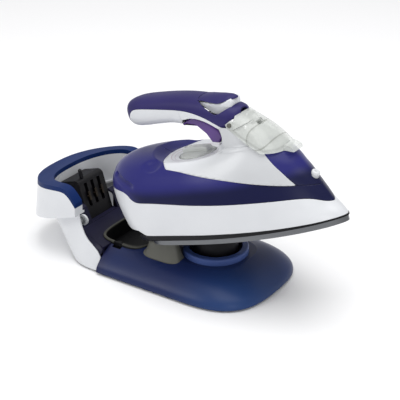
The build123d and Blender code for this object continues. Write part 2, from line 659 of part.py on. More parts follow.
def controls_group():
    """Dial, trigger, thumb rocker, pump, valve rod, springs and spray nozzle."""
    nodes = {}
    low, high = DIAL_Z
    disc = rod_z(DIAL_X, 0, DIAL_RADIUS, low, high)
    disc = fillet(disc.edges().group_by(Axis.Z)[-1], 2.2)
    grips = rod_z(DIAL_X, 0, DIAL_RADIUS - 4, high - 1.0, high + 1) - rod_z(
        DIAL_X, 0, DIAL_RADIUS - 9, high - 2, high + 2
    )
    nodes["thermostat_dial"] = disc - grips
    foot = CASTING_TOP + COVER_THICK
    shaft = rod_z(DIAL_X, 0, SHAFT_D / 2, foot + 9 + SEAT, low)
    nodes["dial_shaft"] = shaft + rod_z(DIAL_X, 0, SHAFT_D / 2 - 1.5, foot + 3, foot + 12)

    pivot_x, pivot_z = TRIGGER_PIVOT
    valve_x, valve_y = VALVE_AT
    hub = rod_y(pivot_x, pivot_z, HUB_RADIUS, HUB_HALF)
    web = prism(TRIGGER_WEB, 6.0)
    trigger = prism(TRIGGER, TRIGGER_HALF) + hub + web
    trigger += prism(TRIGGER_ARM, 2.6, valve_y + 0.4)
    nodes["steam_trigger"] = trigger - rod_y(pivot_x, pivot_z, PIN_D / 2 + RUN, FAR)
    rod = rod_z(valve_x, valve_y, VALVE_D / 2, CASTING_TOP + 0.5, VALVE_TOP)
    nodes["valve_rod"] = rod + rod_z(valve_x, valve_y, 3.2, VALVE_TOP - 2.2, VALVE_TOP - 1.0)
    seat = TANK_ROOF + 0.2
    top = VALVE_TOP - 2.4
    nodes["trigger_spring"] = coil((valve_x, valve_y, seat), (0, 0, 1), top - seat, 2.7, turns=8)

    pump_x, pump_y = PUMP_AT
    pump_low = TANK_ROOF
    body = rod_z(pump_x, pump_y, PUMP_D / 2, pump_low, PUMP_TOP)
    bore = rod_z(pump_x, pump_y, PISTON_D / 2 + RUN, pump_low + 3, PUMP_TOP + 1)
    nodes["pump_body"] = body - bore
    piston = rod_z(pump_x, pump_y, PISTON_D / 2, pump_low + 9, PISTON_TOP - 1.4)
    piston += rod_z(pump_x, pump_y, PISTON_D / 2 + 1.6, PISTON_TOP - 1.4, PISTON_TOP)
    nodes["pump_piston"] = piston
    length = PISTON_TOP - 1.6 - PUMP_TOP
    nodes["pump_spring"] = coil((pump_x, pump_y, PUMP_TOP + 0.1), (0, 0, 1), length, 2.9, turns=5)

    rocker = prism(ROCKER, 30) & rocker_plan(ROCKER_HALF, -89.5)
    rocker -= rod_y(*ROCKER_PIVOT, PIN_D / 2 + RUN, FAR)
    nodes["thumb_rocker"] = rocker
    cap = prism(CAP_EDGE + CAP_TOP, 30) & rocker_plan(ROCKER_HALF + 1.4, -91.0)
    nodes["thumb_cap"] = cap

    nozzle = Pos(0, 0, -1.5) * Cylinder(3.6, 9) + Pos(0, 0, 3.6) * Cylinder(2.6, 1.6)
    nodes["spray_nozzle"] = nozzle_place() * (nozzle - Cylinder(0.6, 40))
    return nodes


# ---------------------------------------------------------------- charging base
PARKED = Pos(0, 0, SOLE_RISE) * Rot(0, -PITCH, 0) * Pos(NOSE_REACH, 0, 0)


def level_loft(levels, face, inset=0.0, drop=0.0):
    """Loft of plan faces, or of the space inside a wall of this thickness."""
    faces = []
    for number, (z, half, reach) in enumerate(levels):
        place = z - drop if number == len(levels) - 1 else z
        if inset and number == 0:
            place = z - 1.0
        shrunk = reach - inset if reach > 0 else reach + inset
        faces.append(Pos(0, 0, place) * face(half - inset, shrunk))
    return loft(faces)


def tongue_loft(inset=0.0):
    """The domed blue shell of the base, or the space inside its wall."""
    return level_loft(
        TONGUE_LEVELS, lambda half, front: tongue_face(front, -TONGUE_REAR - inset, half), inset, inset
    )


def rear_loft(inset=0.0):
    """The mass behind the tongue, or the space inside its wall."""
    return level_loft(
        REAR_LEVELS, lambda half, rear: stern_face(-TONGUE_REAR, -108.0, rear, half), inset
    )


def collar_loft(inset=0.0):
    """The horseshoe collar without its inner space."""
    front = -COLLAR_ARM_END - inset
    return level_loft(
        COLLAR_LEVELS, lambda half, rear: stern_face(front, COLLAR_BEND, rear, half), inset
    )


def collar_gap(half, rear, front=-100.0):
    """The space between the arms of the collar."""
    return extrude(stern_face(front, COLLAR_BEND, rear, half), amount=FAR, both=True)


def pocket_room(half):
    """Rounded box around the middle of the pocket, this far to each side."""
    low, high = POCKET_X
    grow = half - POCKET_HALF
    face = oval_face(high + grow, low - grow, half, 4.0)
    return extrude(face, amount=FAR, both=True)


def between(shape, low, high):
    """The part of a shape between two heights."""
    return shape & block((-FAR, -FAR, low), (FAR, FAR, high))


def neck_mass(inset=0.0):
    """The neck between the tongue and the connector, or the space inside its wall."""
    top = [(x, z - inset) for x, z in NECK_TOP]
    side = prism([(-TONGUE_REAR, -1)] + top + [(NECK_TOP[-1][0], -1)], FAR)
    right = [(x, half - inset) for x, half in NECK_PLAN]
    left = [(x, -half) for x, half in reversed(right)]
    return side & extrude(make_face(Polyline(*right, *left, close=True)), amount=FAR, both=True)


def connector_mass(grow=0.0):
    """The black connector, in the frame of the parked iron, or the hole for it."""
    low, high = CONNECTOR_Z
    face = -CONNECTOR_FACE
    back = face - CONNECTOR_DEPTH
    outline = [(face, low), (face, high), (back, high), (back, low + 28), (face - 11.5, low)]
    side = make_face(Plane.XZ * Polyline(*outline, close=True))
    if grow:
        side = offset(side, grow)
    return extrude(side, amount=CONNECTOR_HALF + grow, both=True)


def base_group():
    """Everything that stays on the table when the iron is lifted."""
    nodes = {}
    pocket_cut = pocket_room(POCKET_HALF + SEAT)
    tongue = tongue_loft()
    shell = tongue - tongue_loft(BASE_WALL)
    for x, y in SCREW_AT[:2]:
        shell += rod_z(x, y, 4.0, COVER_Z, DOME_Z) & tongue
        shell -= rod_z(x, y, 1.5, 0, FOOT_Z + 10)
    shell -= rod_z(0, 0, RING_INNER + 2.3 + SEAT, -1, FAR)
    shell -= pocket_cut
    hook_room = block((HOOK_X - 5.5, -POCKET_HALF - 4, 14), (HOOK_X + 5.5, -POCKET_HALF + 6, FAR))
    nodes["tongue_shell"] = shell - hook_room

    rear_mass = rear_loft() & prism([(-TONGUE_REAR, -1)] + REAR_TOP + [(-240, 22), (-240, -1)], FAR)
    low_top = [(x, z - BASE_WALL) for x, z in REAR_TOP]
    cavity = rear_loft(BASE_WALL) & prism(
        [(-TONGUE_REAR + 1, -1), (-TONGUE_REAR + 1, 16)] + low_top[1:] + [(-240, 20), (-240, -1)], FAR
    )
    neck_plan = neck_side(SEAT)
    cavity -= neck_side(SEAT + BASE_WALL)
    cavity += between(neck_side(SEAT + BASE_WALL), -1, COVER_Z)
    rear = rear_mass - cavity - neck_plan
    socket_cut = PARKED * connector_mass(SEAT)
    face = -CONNECTOR_FACE
    tail_room = PARKED * block((face - 1, -TAIL_HALF, 14.5), (face + 25, TAIL_HALF, 80))
    rear -= socket_cut
    rear -= rod_x(GLAND_Z, 8.0, -190, -150)
    rear -= block((-190, -58, -1), (-TONGUE_REAR - 26, 58, COVER_Z))
    button_x, button_y, button_z = BUTTON_AT
    rear -= rod_y(button_x, button_z, BUTTON_D / 2 + GAP, 5.0, 5.0 - BUTTON_SEAT)
    for x, y in SCREW_AT[2:]:
        rear += (rod_z(x, y, 4.0, COVER_Z, 60) & rear_mass) - neck_plan
        rear -= rod_z(x, y, 1.5, 0, FOOT_Z + 10)
    nodes["rear_shell"] = biggest(rear)

    neck = neck_mass() - neck_mass(BASE_WALL) - tail_room
    floor_x, floor_z = NECK_TOP[2]
    floor_low = (PEDESTAL_X[1] + 1.1, -TAIL_HALF, floor_z - BASE_WALL)
    neck += block(floor_low, (floor_x + 1, TAIL_HALF, floor_z))
    neck = neck - pocket_cut - socket_cut - hook_room
    nodes["dock_neck"] = biggest(between(neck, COVER_Z, FAR))

    outer = collar_loft()
    gap = collar_gap(*COLLAR_INNER)
    under = over_line(COLLAR_UNDER, top=-FAR)
    top_line = over_line(COLLAR_TOP)
    low_line = over_line([(x, z - RAIL_THICK) for x, z in COLLAR_TOP])
    ring = outer - gap - under
    nodes["collar_rail"] = biggest((ring & low_line) - top_line)
    inner_half, inner_rear = COLLAR_INNER
    space = collar_loft(WALL) - collar_gap(inner_half + WALL, inner_rear - WALL)
    space -= over_line([(x, z + WALL) for x, z in COLLAR_UNDER], top=-FAR)
    ledge_floor = outer - collar_gap(*COLLAR_LEDGE) - under
    ledge_floor -= over_line([(x, z + WALL) for x, z in COLLAR_UNDER])
    wall = (ring - low_line - space) + ledge_floor
    nodes["collar_wall"] = biggest(wall - socket_cut)

    ring_low = DOME_Z - BASE_WALL - 5
    collar = rod_z(0, 0, RING_OUTER, DOME_Z, RING_TOP)
    collar = fillet(collar.edges().group_by(Axis.Z)[-1], 2.0)
    collar += rod_z(0, 0, RING_INNER + 2.3, ring_low, DOME_Z)
    nodes["ring_collar"] = collar - rod_z(0, 0, RING_INNER, 0, FAR)

    under_sole = PARKED * block((-FAR, -FAR, -FAR), (FAR, FAR, -SEAT))
    under_pad = PARKED * block((-FAR, -FAR, -FAR), (FAR, FAR, -SEAT - POST_TOP_PAD))
    post = rod_z(0, 0, POST_RADIUS, COVER_Z, 90) & under_pad
    hollow = PARKED * block((-FAR, -FAR, -FAR), (FAR, FAR, -SEAT - POST_TOP_PAD - 3))
    post -= rod_z(0, 0, POST_RADIUS - 2.5, COVER_Z, 90) & hollow
    post += rod_z(0, 0, POST_RADIUS + 3, COVER_Z, COVER_Z + 2.4) - rod_z(0, 0, POST_RADIUS - 2.5, 0, 9)
    nodes["support_post"] = post
    nodes["post_pad"] = (rod_z(0, 0, POST_RADIUS, COVER_Z, 90) & under_sole) - under_pad

    rests = []
    for side in (-1, 1):
        y_low, y_high = sorted((side * REST_Y[0], side * REST_Y[1]))
        rest = block((REST_X[0], y_low, 10), (REST_X[1], y_high, 90)) & under_sole
        rests.append(rest - tongue)
    nodes["rest_blocks"] = Compound(children=rests)

    liner = between(pocket_room(POCKET_HALF), POCKET_FLOOR, POCKET_RIM)
    liner -= between(pocket_room(POCKET_HALF - WALL), POCKET_FLOOR + WALL, FAR)
    nodes["pocket_liner"] = liner - hook_room
    nodes.update(connector_nodes())
    nodes.update(lock_nodes())
    nodes.update(floor_nodes())
    return nodes


def neck_side(grow):
    """Everything over the plan of the neck, this much wider."""
    right = [(x, half + grow) for x, half in NECK_PLAN]
    slope = (NECK_PLAN[0][1] - NECK_PLAN[1][1]) / (NECK_PLAN[0][0] - NECK_PLAN[1][0])
    right[0] = (right[0][0] + 1, right[0][1] + slope)
    right[-1] = (NECK_PLAN[-1][0] - grow, right[-1][1])
    left = [(x, -half) for x, half in reversed(right)]
    return extrude(make_face(Polyline(*right, *left, close=True)), amount=FAR, both=True)


def rod_x(z, radius, low, high):
    """A cylinder that lies along the base."""
    return Pos((low + high) / 2, 0, z) * Rot(0, 90, 0) * Cylinder(radius, high - low)


def connector_nodes():
    """The connector with its springs and peg, the terminal block and the cord gland."""
    nodes = {}
    face = -CONNECTOR_FACE
    low, high = CONNECTOR_Z
    body = connector_mass()
    crown = body.edges().filter_by(Axis.Y).sort_by(lambda e: e.center().X + e.center().Z)[-1]
    body = fillet(crown, 6.0)
    springs = []
    for side in (-1, 0, 1):
        y = side * SLOT_PITCH
        half = SLOT_WIDTH / 2
        body -= block((face - 12, y - half, 29), (face + 1, y + half, 56))
        leaf = block((face - 12, y - 1.5, 33), (face - 11, y + 1.5, 50))
        leaf += block((face - 12, y - 1.5, 40), (face + SPRING_PROUD, y + 1.5, 41))
        leaf += block((face + SPRING_PROUD - 1, y - 1.5, 36), (face + SPRING_PROUD, y + 1.5, 46))
        springs.append(PARKED * leaf)
    nodes["connector_body"] = PARKED * body
    nodes["contact_springs"] = Compound(children=springs)
    peg_x, peg_y = PEG_AT
    peg = rod_z(peg_x, peg_y, 2.2, high, high + 8) + Pos(peg_x, peg_y, high + 8) * Sphere(2.2)
    nodes["guide_peg"] = PARKED * peg
    x, y = TERMINAL_LOW
    length, width, height = TERMINAL_SIZE
    terminal = block((x, y, COVER_Z), (x + length, y + width, COVER_Z + height))
    for share in (0.2, 0.5, 0.8):
        terminal -= rod_z(x + share * length, y + width / 2, 1.8, COVER_Z + 4, COVER_Z + height + 1)
    nodes["terminal_block"] = terminal
    gland = rod_x(GLAND_Z, 8.0, *GLAND_TUBE) + rod_x(GLAND_Z, 10.0, GLAND_TUBE[0] - 3, GLAND_TUBE[0])
    nodes["cord_gland"] = gland - rod_x(GLAND_Z, CORD_BORE / 2, -200, -150)
    return nodes


def lock_nodes():
    """The lock button in the rear shell and the hook in the lip of the pocket."""
    nodes = {}
    x, y, z = BUTTON_AT
    back = y - BUTTON_LENGTH
    nodes["lock_button"] = rod_y(x, z, BUTTON_D / 2, BUTTON_LENGTH / 2, y - BUTTON_LENGTH / 2)
    washer = (BUTTON_SEAT + back - 0.1) / 2
    nodes["lock_spring"] = rod_y(x, z, 4.0, washer, back - washer - 0.05) - rod_y(x, z, 3.0, 9, back)
    wall = -POCKET_HALF
    hook = block((HOOK_X - 4.8, wall + 0.2, 15), (HOOK_X + 4.8, wall + WALL - 0.2, POCKET_RIM - 0.4))
    hook += block((HOOK_X - 2.5, wall + 0.2, POCKET_RIM - 3.4), (HOOK_X + 2.5, wall + 4.4, POCKET_RIM - 0.4))
    nodes["lock_hook"] = hook
    return nodes


def floor_nodes():
    """Bottom cover with the pedestal of the connector, its screws and the feet."""
    nodes = {}
    edge = BASE_WALL + SEAT
    front = tongue_face(TONGUE_FRONT - edge, -TONGUE_REAR, TONGUE_HALF - edge)
    rear = stern_face(-TONGUE_REAR, -108.0, -BASE_REAR + edge, REAR_LEVELS[0][1] - edge - REAR_LEAN)
    cover = Pos(0, 0, FOOT_Z) * extrude(front + rear, amount=COVER_Z - FOOT_Z)
    pedestal_low = (PEDESTAL_X[0], -PEDESTAL_HALF, FOOT_Z)
    pedestal = block(pedestal_low, (PEDESTAL_X[1], PEDESTAL_HALF, 60))
    pedestal &= PARKED * block((-FAR, -FAR, -FAR), (FAR, FAR, CONNECTOR_Z[0]))
    cover += pedestal
    cover -= rod_x(GLAND_Z, CORD_BORE / 2 + 1, -190, -150)
    screws = []
    for x, y in SCREW_AT:
        cover -= rod_z(x, y, 1.7, 0, 10)
        screws.append(pan_screw(x, y, FOOT_Z, 3.0, 10.0, up=False))
    nodes["bottom_cover"] = cover
    nodes["base_screws"] = Compound(children=screws)
    feet = [rod_z(x, y, FOOT_D / 2, 0, FOOT_Z) for x, y in FOOT_AT]
    feet.append(rod_z(0, 0, CENTRE_FOOT_D / 2, 0, FOOT_Z))
    nodes["rubber_feet"] = Compound(children=feet)
    return nodes


def main():
    """Write every piece to its own STEP file."""
    os.makedirs("parts", exist_ok=True)
    nodes = {}
    for group in (heating_group, housing_group, controls_group):
        for name, shape in group().items():
            nodes[name] = PARKED * shape
    nodes.update(base_group())
    for name, shape in nodes.items():
        export_step(shape, f"parts/{name}.step")


if __name__ == "__main__":
    main()
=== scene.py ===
"""Cordless steam iron parked on its charging base: finishes, visible shells and stage.

The world frame is in metres, +Z up, +X towards the nose of the iron.  Places on the iron
are written in the iron's own frame, in millimetres: t is the distance behind the tip of
the soleplate, y is across and z is the height over the ironing face.
"""

import math
from functools import reduce

import bpy
import numpy as np
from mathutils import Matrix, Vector


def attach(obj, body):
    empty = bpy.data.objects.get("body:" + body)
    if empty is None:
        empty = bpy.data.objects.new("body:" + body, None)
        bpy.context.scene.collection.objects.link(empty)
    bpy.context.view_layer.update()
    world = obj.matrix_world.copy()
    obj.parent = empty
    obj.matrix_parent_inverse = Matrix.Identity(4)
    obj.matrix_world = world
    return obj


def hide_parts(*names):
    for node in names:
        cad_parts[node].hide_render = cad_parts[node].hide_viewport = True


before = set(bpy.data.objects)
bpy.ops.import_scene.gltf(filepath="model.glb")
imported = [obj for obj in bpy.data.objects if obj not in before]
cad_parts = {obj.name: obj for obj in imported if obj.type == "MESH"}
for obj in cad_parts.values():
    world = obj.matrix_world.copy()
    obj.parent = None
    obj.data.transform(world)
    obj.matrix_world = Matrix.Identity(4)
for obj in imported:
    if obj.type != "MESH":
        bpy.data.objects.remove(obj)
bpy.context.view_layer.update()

# ---------------------------------------------------------------- the iron in its base
MM = 0.001                       # metres in a millimetre
PITCH = math.radians(17.25)      # nose-up angle of the parked iron
SOLE_RISE = 59.0                 # ironing face above the ground at the ring centre
NOSE_REACH = 159.5               # ring centre to the soleplate tip, along the iron
COS, SIN = math.cos(PITCH), math.sin(PITCH)
DIAL_PLACE = 158.0               # distance of the dial's middle behind the tip
DIAL_RADIUS = 19.5


def placed(points):
    """Iron frame (t, y, z) in mm to world metres: a shift, a pitch about Y and a lift."""
    points = np.asarray(points, float)
    along = NOSE_REACH - points[..., 0]
    across, up = points[..., 1], points[..., 2]
    x = along * COS - up * SIN
    z = SOLE_RISE + along * SIN + up * COS
    return np.stack([x, across, z], -1) * MM


# ---------------------------------------------------------------- shader maths
class Wire:
    """One output of a shader graph that can be added, multiplied and compared."""

    def __init__(self, graph, socket):
        self.graph = graph
        self.socket = socket

    def _with(self, operation, *values):
        made = self.graph.node("ShaderNodeMath", {"operation": operation}, *values)
        return made["Value"]

    def __add__(self, other):
        return self._with("ADD", self, other)

    __radd__ = __add__

    def __sub__(self, other):
        return self._with("SUBTRACT", self, other)

    def __rsub__(self, other):
        return self._with("SUBTRACT", other, self)

    def __mul__(self, other):
        return self._with("MULTIPLY", self, other)

    __rmul__ = __mul__

    def __pow__(self, other):
        return self._with("POWER", self, other)

    def __abs__(self):
        return self._with("ABSOLUTE", self)

    def most(self, other):
        return self._with("MAXIMUM", self, other)

    def step(self, low, high):
        """0 below low, 1 above high and smooth between them."""
        made = self.graph.node(
            "ShaderNodeMapRange", {"interpolation_type": "SMOOTHSTEP"}, self, low, high, 0.0, 1.0
        )
        return made["Result"]


class Outputs:
    """The outputs of one node by name, each as a Wire."""

    def __init__(self, graph, node):
        self.graph = graph
        self.node = node

    def __getitem__(self, name):
        return Wire(self.graph, self.node.outputs[name])


class Graph:
    """The node tree of one material."""

    def __init__(self, name):
        self.material = bpy.data.materials.new(name)
        self.material.use_nodes = True
        self.tree = self.material.node_tree
        self.tree.nodes.clear()
        self.output = self.tree.nodes.new("ShaderNodeOutputMaterial")

    def node(self, kind, settings=None, *values, **named):
        """A node of a kind with its settings, then the values or wires of its sockets."""
        made = self.tree.nodes.new(kind)
        for key, value in (settings or {}).items():
            setattr(made, key, value)
        for place, value in [*enumerate(values), *named.items()]:
            name = place.replace("_", " ") if isinstance(place, str) else place
            self._feed(made.inputs[name], value)
        return Outputs(self, made)

    def _feed(self, socket, value):
        if isinstance(value, Wire):
            self.tree.links.new(value.socket, socket)
        else:
            socket.default_value = value

    def place(self):
        """The place on the piece, in metres of the world frame at rest."""
        return self.node("ShaderNodeTexCoord")["Object"]

    def dot(self, vector, direction):
        """Dot product of a vector wire and a direction."""
        made = self.node("ShaderNodeVectorMath", {"operation": "DOT_PRODUCT"}, vector, direction)
        return made["Value"]

    def axes(self):
        """World x, y and z of a point, in mm, as three wires."""
        place = self.place()
        units = ((1000.0, 0, 0), (0, 1000.0, 0), (0, 0, 1000.0))
        return [self.dot(place, unit) for unit in units]

    def iron_axes(self):
        """t, y and z of a point in the iron's own frame, in mm, as three wires."""
        place = self.place()
        t = NOSE_REACH + SOLE_RISE * SIN - self.dot(place, (1000 * COS, 0, 1000 * SIN))
        y = self.dot(place, (0, 1000.0, 0))
        z = self.dot(place, (-1000 * SIN, 0, 1000 * COS)) - SOLE_RISE * COS
        return t, y, z

    def mix(self, share, low, high):
        """A colour that runs from low to high with the share.  The node has a set of
        sockets for each kind of value, and these are its colour ones."""
        made = self.tree.nodes.new("ShaderNodeMix")
        made.data_type = "RGBA"
        for socket, value in ((0, share), (6, low), (7, high)):
            self._feed(made.inputs[socket], value)
        return Wire(self, made.outputs[2])

    def noise(self, scale, detail=2.0, roughness=0.5, vector=None):
        """Soft noise from 0 to 1, with a scale in grains per metre."""
        made = self.node(
            "ShaderNodeTexNoise", None, Vector=vector or self.place(), Scale=scale,
            Detail=detail, Roughness=roughness,
        )
        return made["Fac"]

    def uneven(self, middle, swing, scale, detail=4.0):
        """A value with noise about its middle: middle + (noise - 0.5) * swing."""
        return middle + (self.noise(scale, detail) - 0.5) * swing

    def bump(self, height, depth):
        """A normal from a height wire; depth is in mm."""
        made = self.node("ShaderNodeBump", None, Distance=depth * MM, Height=height)
        return made["Normal"]

    def surface(self, **sockets):
        """A Principled surface that ends the graph."""
        made = self.node("ShaderNodeBsdfPrincipled", None, **sockets)
        self.tree.links.new(made.node.outputs["BSDF"], self.output.inputs["Surface"])
        return self.material


def tone(red, green, blue):
    """A colour from everyday 0 to 255 values, as linear light."""
    linear = []
    for value in (red, green, blue):
        share = value / 255
        linear.append(share / 12.92 if share <= 0.04045 else ((share + 0.055) / 1.055) ** 2.4)
    return (*linear, 1.0)


# ---------------------------------------------------------------- finishes
COAT_ROUGHNESS = 0.12
TANK_RINGS = (         # place along, height, radius and line width of the tank's moulded rings
    (66.0, 95.0, 11.0, 0.7), (61.0, 104.5, 1.8, 0.5), (46.5, 91.5, 1.8, 0.5),
)
SCALE_RINGS = (        # radius, and where the line starts and ends to fade, of the dial's scale
    (28.0, 0.2, 0.6), (24.5, 0.15, 0.4),
)


def moulded(name, colour, darker, rough, grain=900.0, depth=0.02, coat=0.0, gloss=0.5):
    """Moulded plastic: a slow drift between two colours, each from 0 to 255, worn gloss in
    patches and a fine grain, in grains per metre and mm deep."""
    g = Graph(name)
    drift = g.noise(14.0, 3.0)
    return g.surface(
        Base_Color=g.mix(drift.step(0.3, 0.7), tone(*darker), tone(*colour)),
        Roughness=g.uneven(rough, 0.12, 60.0),
        Coat_Weight=coat,
        Coat_Roughness=COAT_ROUGHNESS,
        Specular_IOR_Level=gloss,
        Normal=g.bump(g.noise(grain), depth),
    )


def body_purple_painted_shading():
    """Glossy purple of the band with painted shading: dark navy painted on the flanks for shade,
    lighter purple over the shoulder and the rear for the light there.
    """
    g = Graph("body_purple_painted_shading")
    t, _, z = g.iron_axes()
    # painted shading: lighter purple over the shoulder and the rear stands for light, the navy
    # below it for shade
    shoulder = g.uneven(z, 4.0, 18.0, 3.0).step(50.0, 62.0)
    rear = t.step(196.0, 232.0)
    return g.surface(
        Base_Color=g.mix(shoulder.most(rear), tone(12, 16, 56), tone(36, 36, 104)),
        Roughness=g.uneven(0.3, 0.08, 70.0),
        Specular_IOR_Level=0.22,
        Normal=g.bump(g.noise(1500.0), 0.006),
    )


def pocket_plastic():
    """Black inside the heel pocket that turns olive grey on its rim, above 27 mm."""
    g = Graph("pocket_plastic")
    height = g.dot(g.place(), (0, 0, 1000.0))
    rim = g.uneven(height, 0.4, 60.0, 2.0).step(26.8, 27.6)
    return g.surface(
        Base_Color=g.mix(rim, tone(12, 12, 15), tone(70, 70, 64)),
        Roughness=g.uneven(0.45, 0.1, 300.0, 3.0),
        Specular_IOR_Level=0.25,
        Normal=g.bump(g.noise(1200.0), 0.02),
    )


def ring_line(t, z, along, high, radius, width):
    """A circle's line in side view: 1 where the distance from the circle is within 0.6
    widths, and 0 beyond 1.5 widths."""
    out = ((t - along) * (t - along) + (z - high) * (z - high)) ** 0.5
    return 1 - abs((out - radius) * (1 / width)).step(0.6, 1.5)


def clear_plastic(name, opacity):
    """Clear, faintly grey plastic that lets the inside show, with the tank's moulded rings."""
    g = Graph(name)
    drift = g.noise(30.0)
    t, _, z = g.iron_axes()
    marks = reduce(Wire.most, [ring_line(t, z, *ring) for ring in TANK_RINGS])
    plain = g.mix(drift, tone(208, 212, 208), tone(226, 229, 226))
    return g.surface(
        Base_Color=g.mix(marks * 0.5, plain, tone(120, 122, 112)),
        Roughness=0.1 + drift * 0.06,
        Alpha=opacity + drift * 0.1,
        IOR=1.49,
    )


def brushed(name, colour, darker, rough, along=(1, 0, 0)):
    """Metal with fine lines along one direction: noise drawn out 45 times that way."""
    g = Graph(name)
    stretch = tuple(40.0 if part else 1800.0 for part in along)
    scaled = g.node("ShaderNodeMapping", None, Vector=g.place(), Scale=stretch)["Vector"]
    lines = g.noise(1.0, 4.0, 0.6, scaled)
    return g.surface(
        Base_Color=g.mix(lines, tone(*darker), tone(*colour)),
        Metallic=1.0,
        Roughness=rough + (lines - 0.5) * 0.2,
        Normal=g.bump(lines, 0.01),
    )


def blue_base_painted_highlight():
    """Satin blue of the base with a painted highlight: lighter towards the blunt nose and the near
    side, navy towards the dock.
    """
    g = Graph("base_blue_painted_highlight")
    x, y, _ = g.axes()
    # painted highlight: the blue lightens towards the nose and the near side
    nose = g.uneven(x - 0.55 * y, 30.0, 9.0, 3.0).step(10.0, 120.0)
    blue = g.mix(nose, tone(24, 36, 78), tone(34, 62, 112))
    dock = g.uneven(x, 10.0, 9.0, 3.0).step(-112.0, -86.0)
    return g.surface(
        Base_Color=g.mix(dock, tone(29, 30, 62), blue),
        Roughness=g.uneven(0.36, 0.1, 50.0),
        Specular_IOR_Level=0.25,
        Normal=g.bump(g.noise(1300.0), 0.012),
    )


def shelf_white_painted_light():
    """White of the body with painted light and shade: lighter round the dial where the deck faces
    up, greyer on the sides and column, with two thin printed rings about it.
    """
    g = Graph("shelf_white_painted_light")
    t, y, z = g.iron_axes()
    drift = g.noise(14.0, 3.0)
    out = ((t - DIAL_PLACE) * (t - DIAL_PLACE) + y * y) ** 0.5
    rings = [1 - abs(out - radius).step(*fade) for radius, *fade in SCALE_RINGS]
    on_deck = 1 - z.step(89.0, 92.0)
    printed = reduce(Wire.most, rings) * on_deck * (drift.step(0.35, 0.45) * 0.5 + 0.5)
    # painted shade: the greyer white away from the dial stands for the shaded sides; painted light:
    # the lighter white round the dial stands for the lit deck
    plain = g.mix(drift.step(0.3, 0.7), tone(186, 188, 191), tone(192, 194, 197))
    base = g.mix(out.step(34.0, 60.0), tone(216, 218, 222), plain)
    return g.surface(
        Base_Color=g.mix(printed * 0.55, base, tone(168, 128, 150)),
        Roughness=g.uneven(0.3, 0.12, 60.0),
        Coat_Weight=0.15,
        Coat_Roughness=COAT_ROUGHNESS,
        Normal=g.bump(g.noise(900.0), 0.02),
    )


UPRIGHT = (0, 0, 1)
SATIN = 0.25           # gloss of the grip and the ring
FINE = 1300.0          # grains per metre of the base's plastics
FINISHES = {
    "shelf": shelf_white_painted_light(),
    "white": moulded("white_moulded", (214, 216, 219), (206, 208, 212), 0.3, coat=0.15),
    "purple": body_purple_painted_shading(),
    "grip": moulded("grip_soft", (41, 35, 93), (35, 29, 84), 0.46, 1500.0, gloss=SATIN),
    "violet": moulded("trigger_violet", (84, 48, 128), (66, 36, 106), 0.22, coat=0.3, gloss=0.4),
    "pocket": pocket_plastic(),
    "clear": clear_plastic("clear_plastic", 0.42),
    "dial": clear_plastic("dial_clear", 0.62),
    "black": moulded("black_moulded", (15, 14, 19), (9, 9, 13), 0.42, gloss=0.2),
    "rubber": moulded("black_rubber", (24, 24, 26), (17, 17, 19), 0.7, 600.0, 0.04),
    "grey": moulded("grey_moulded", (92, 92, 84), (78, 78, 72), 0.5),
    "blue": blue_base_painted_highlight(),
    "rail": moulded("rail_blue", (12, 38, 90), (10, 33, 80), 0.45, FINE, 0.01, gloss=0.12),
    # painted light: the ring gets a lighter blue than the base to make up for the shade the iron
    # casts on it
    "ring": moulded("ring_blue_painted_light", (62, 82, 138), (54, 73, 126), 0.4, FINE, 0.01, gloss=SATIN),
    "navy": moulded("neck_navy", (26, 25, 50), (21, 20, 42), 0.42, FINE, 0.01, gloss=0.2),
    "dark_brass": moulded("contact_dark", (44, 36, 26), (34, 28, 22), 0.5, gloss=0.2),
    "sole": brushed("sole_metal", (122, 124, 127), (98, 100, 103), 0.34),
    "steel": brushed("steel", (190, 191, 193), (150, 151, 154), 0.28, UPRIGHT),
    "brass": brushed("contact_brass", (214, 178, 104), (180, 144, 78), 0.28, UPRIGHT),
    "silicone": moulded("silicone", (186, 92, 70), (168, 80, 60), 0.6),
}

WEARS = {
    "white": """skirt right_housing left_housing handle_shell thumb_rocker collar_wall rear_shell
        lock_button spray_nozzle pump_body dial_shaft valve_rod heel_plate""",
    "purple": "body_band nose_cover",
    "grip": "grip_cover thumb_cap",
    "violet": "steam_trigger",
    "clear": "water_tank filler_flap thermostat_dial",
    "black": """connector_body guide_peg heat_shield contact_socket lock_hook
        terminal_block cord_gland bottom_cover support_post""",
    "pocket": "pocket_liner",
    "rubber": "rubber_feet post_pad",
    "grey": "rest_blocks tank_pins",
    "blue": "tongue_shell",
    "ring": "ring_collar",
    "navy": "dock_neck",
    "rail": "collar_rail",
    "sole": "soleplate sole_casting chamber_cover thermostat heating_element",
    "steel": """cover_screws heel_screws trigger_pin flap_pin rocker_pin handle_screws
        trigger_spring pump_piston pump_spring lock_spring base_screws""",
    "brass": "contact_plates",
    "dark_brass": "contact_springs",
    "silicone": "feed_tube tank_seal",
}


def dress():
    """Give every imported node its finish."""
    for finish, names in WEARS.items():
        for name in names.split():
            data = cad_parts[name].data
            data.materials.clear()
            data.materials.append(FINISHES[finish])


dress()


# ---------------------------------------------------------------- surfaces from numpy
TINY = 1e-12           # keeps a division from a length of zero


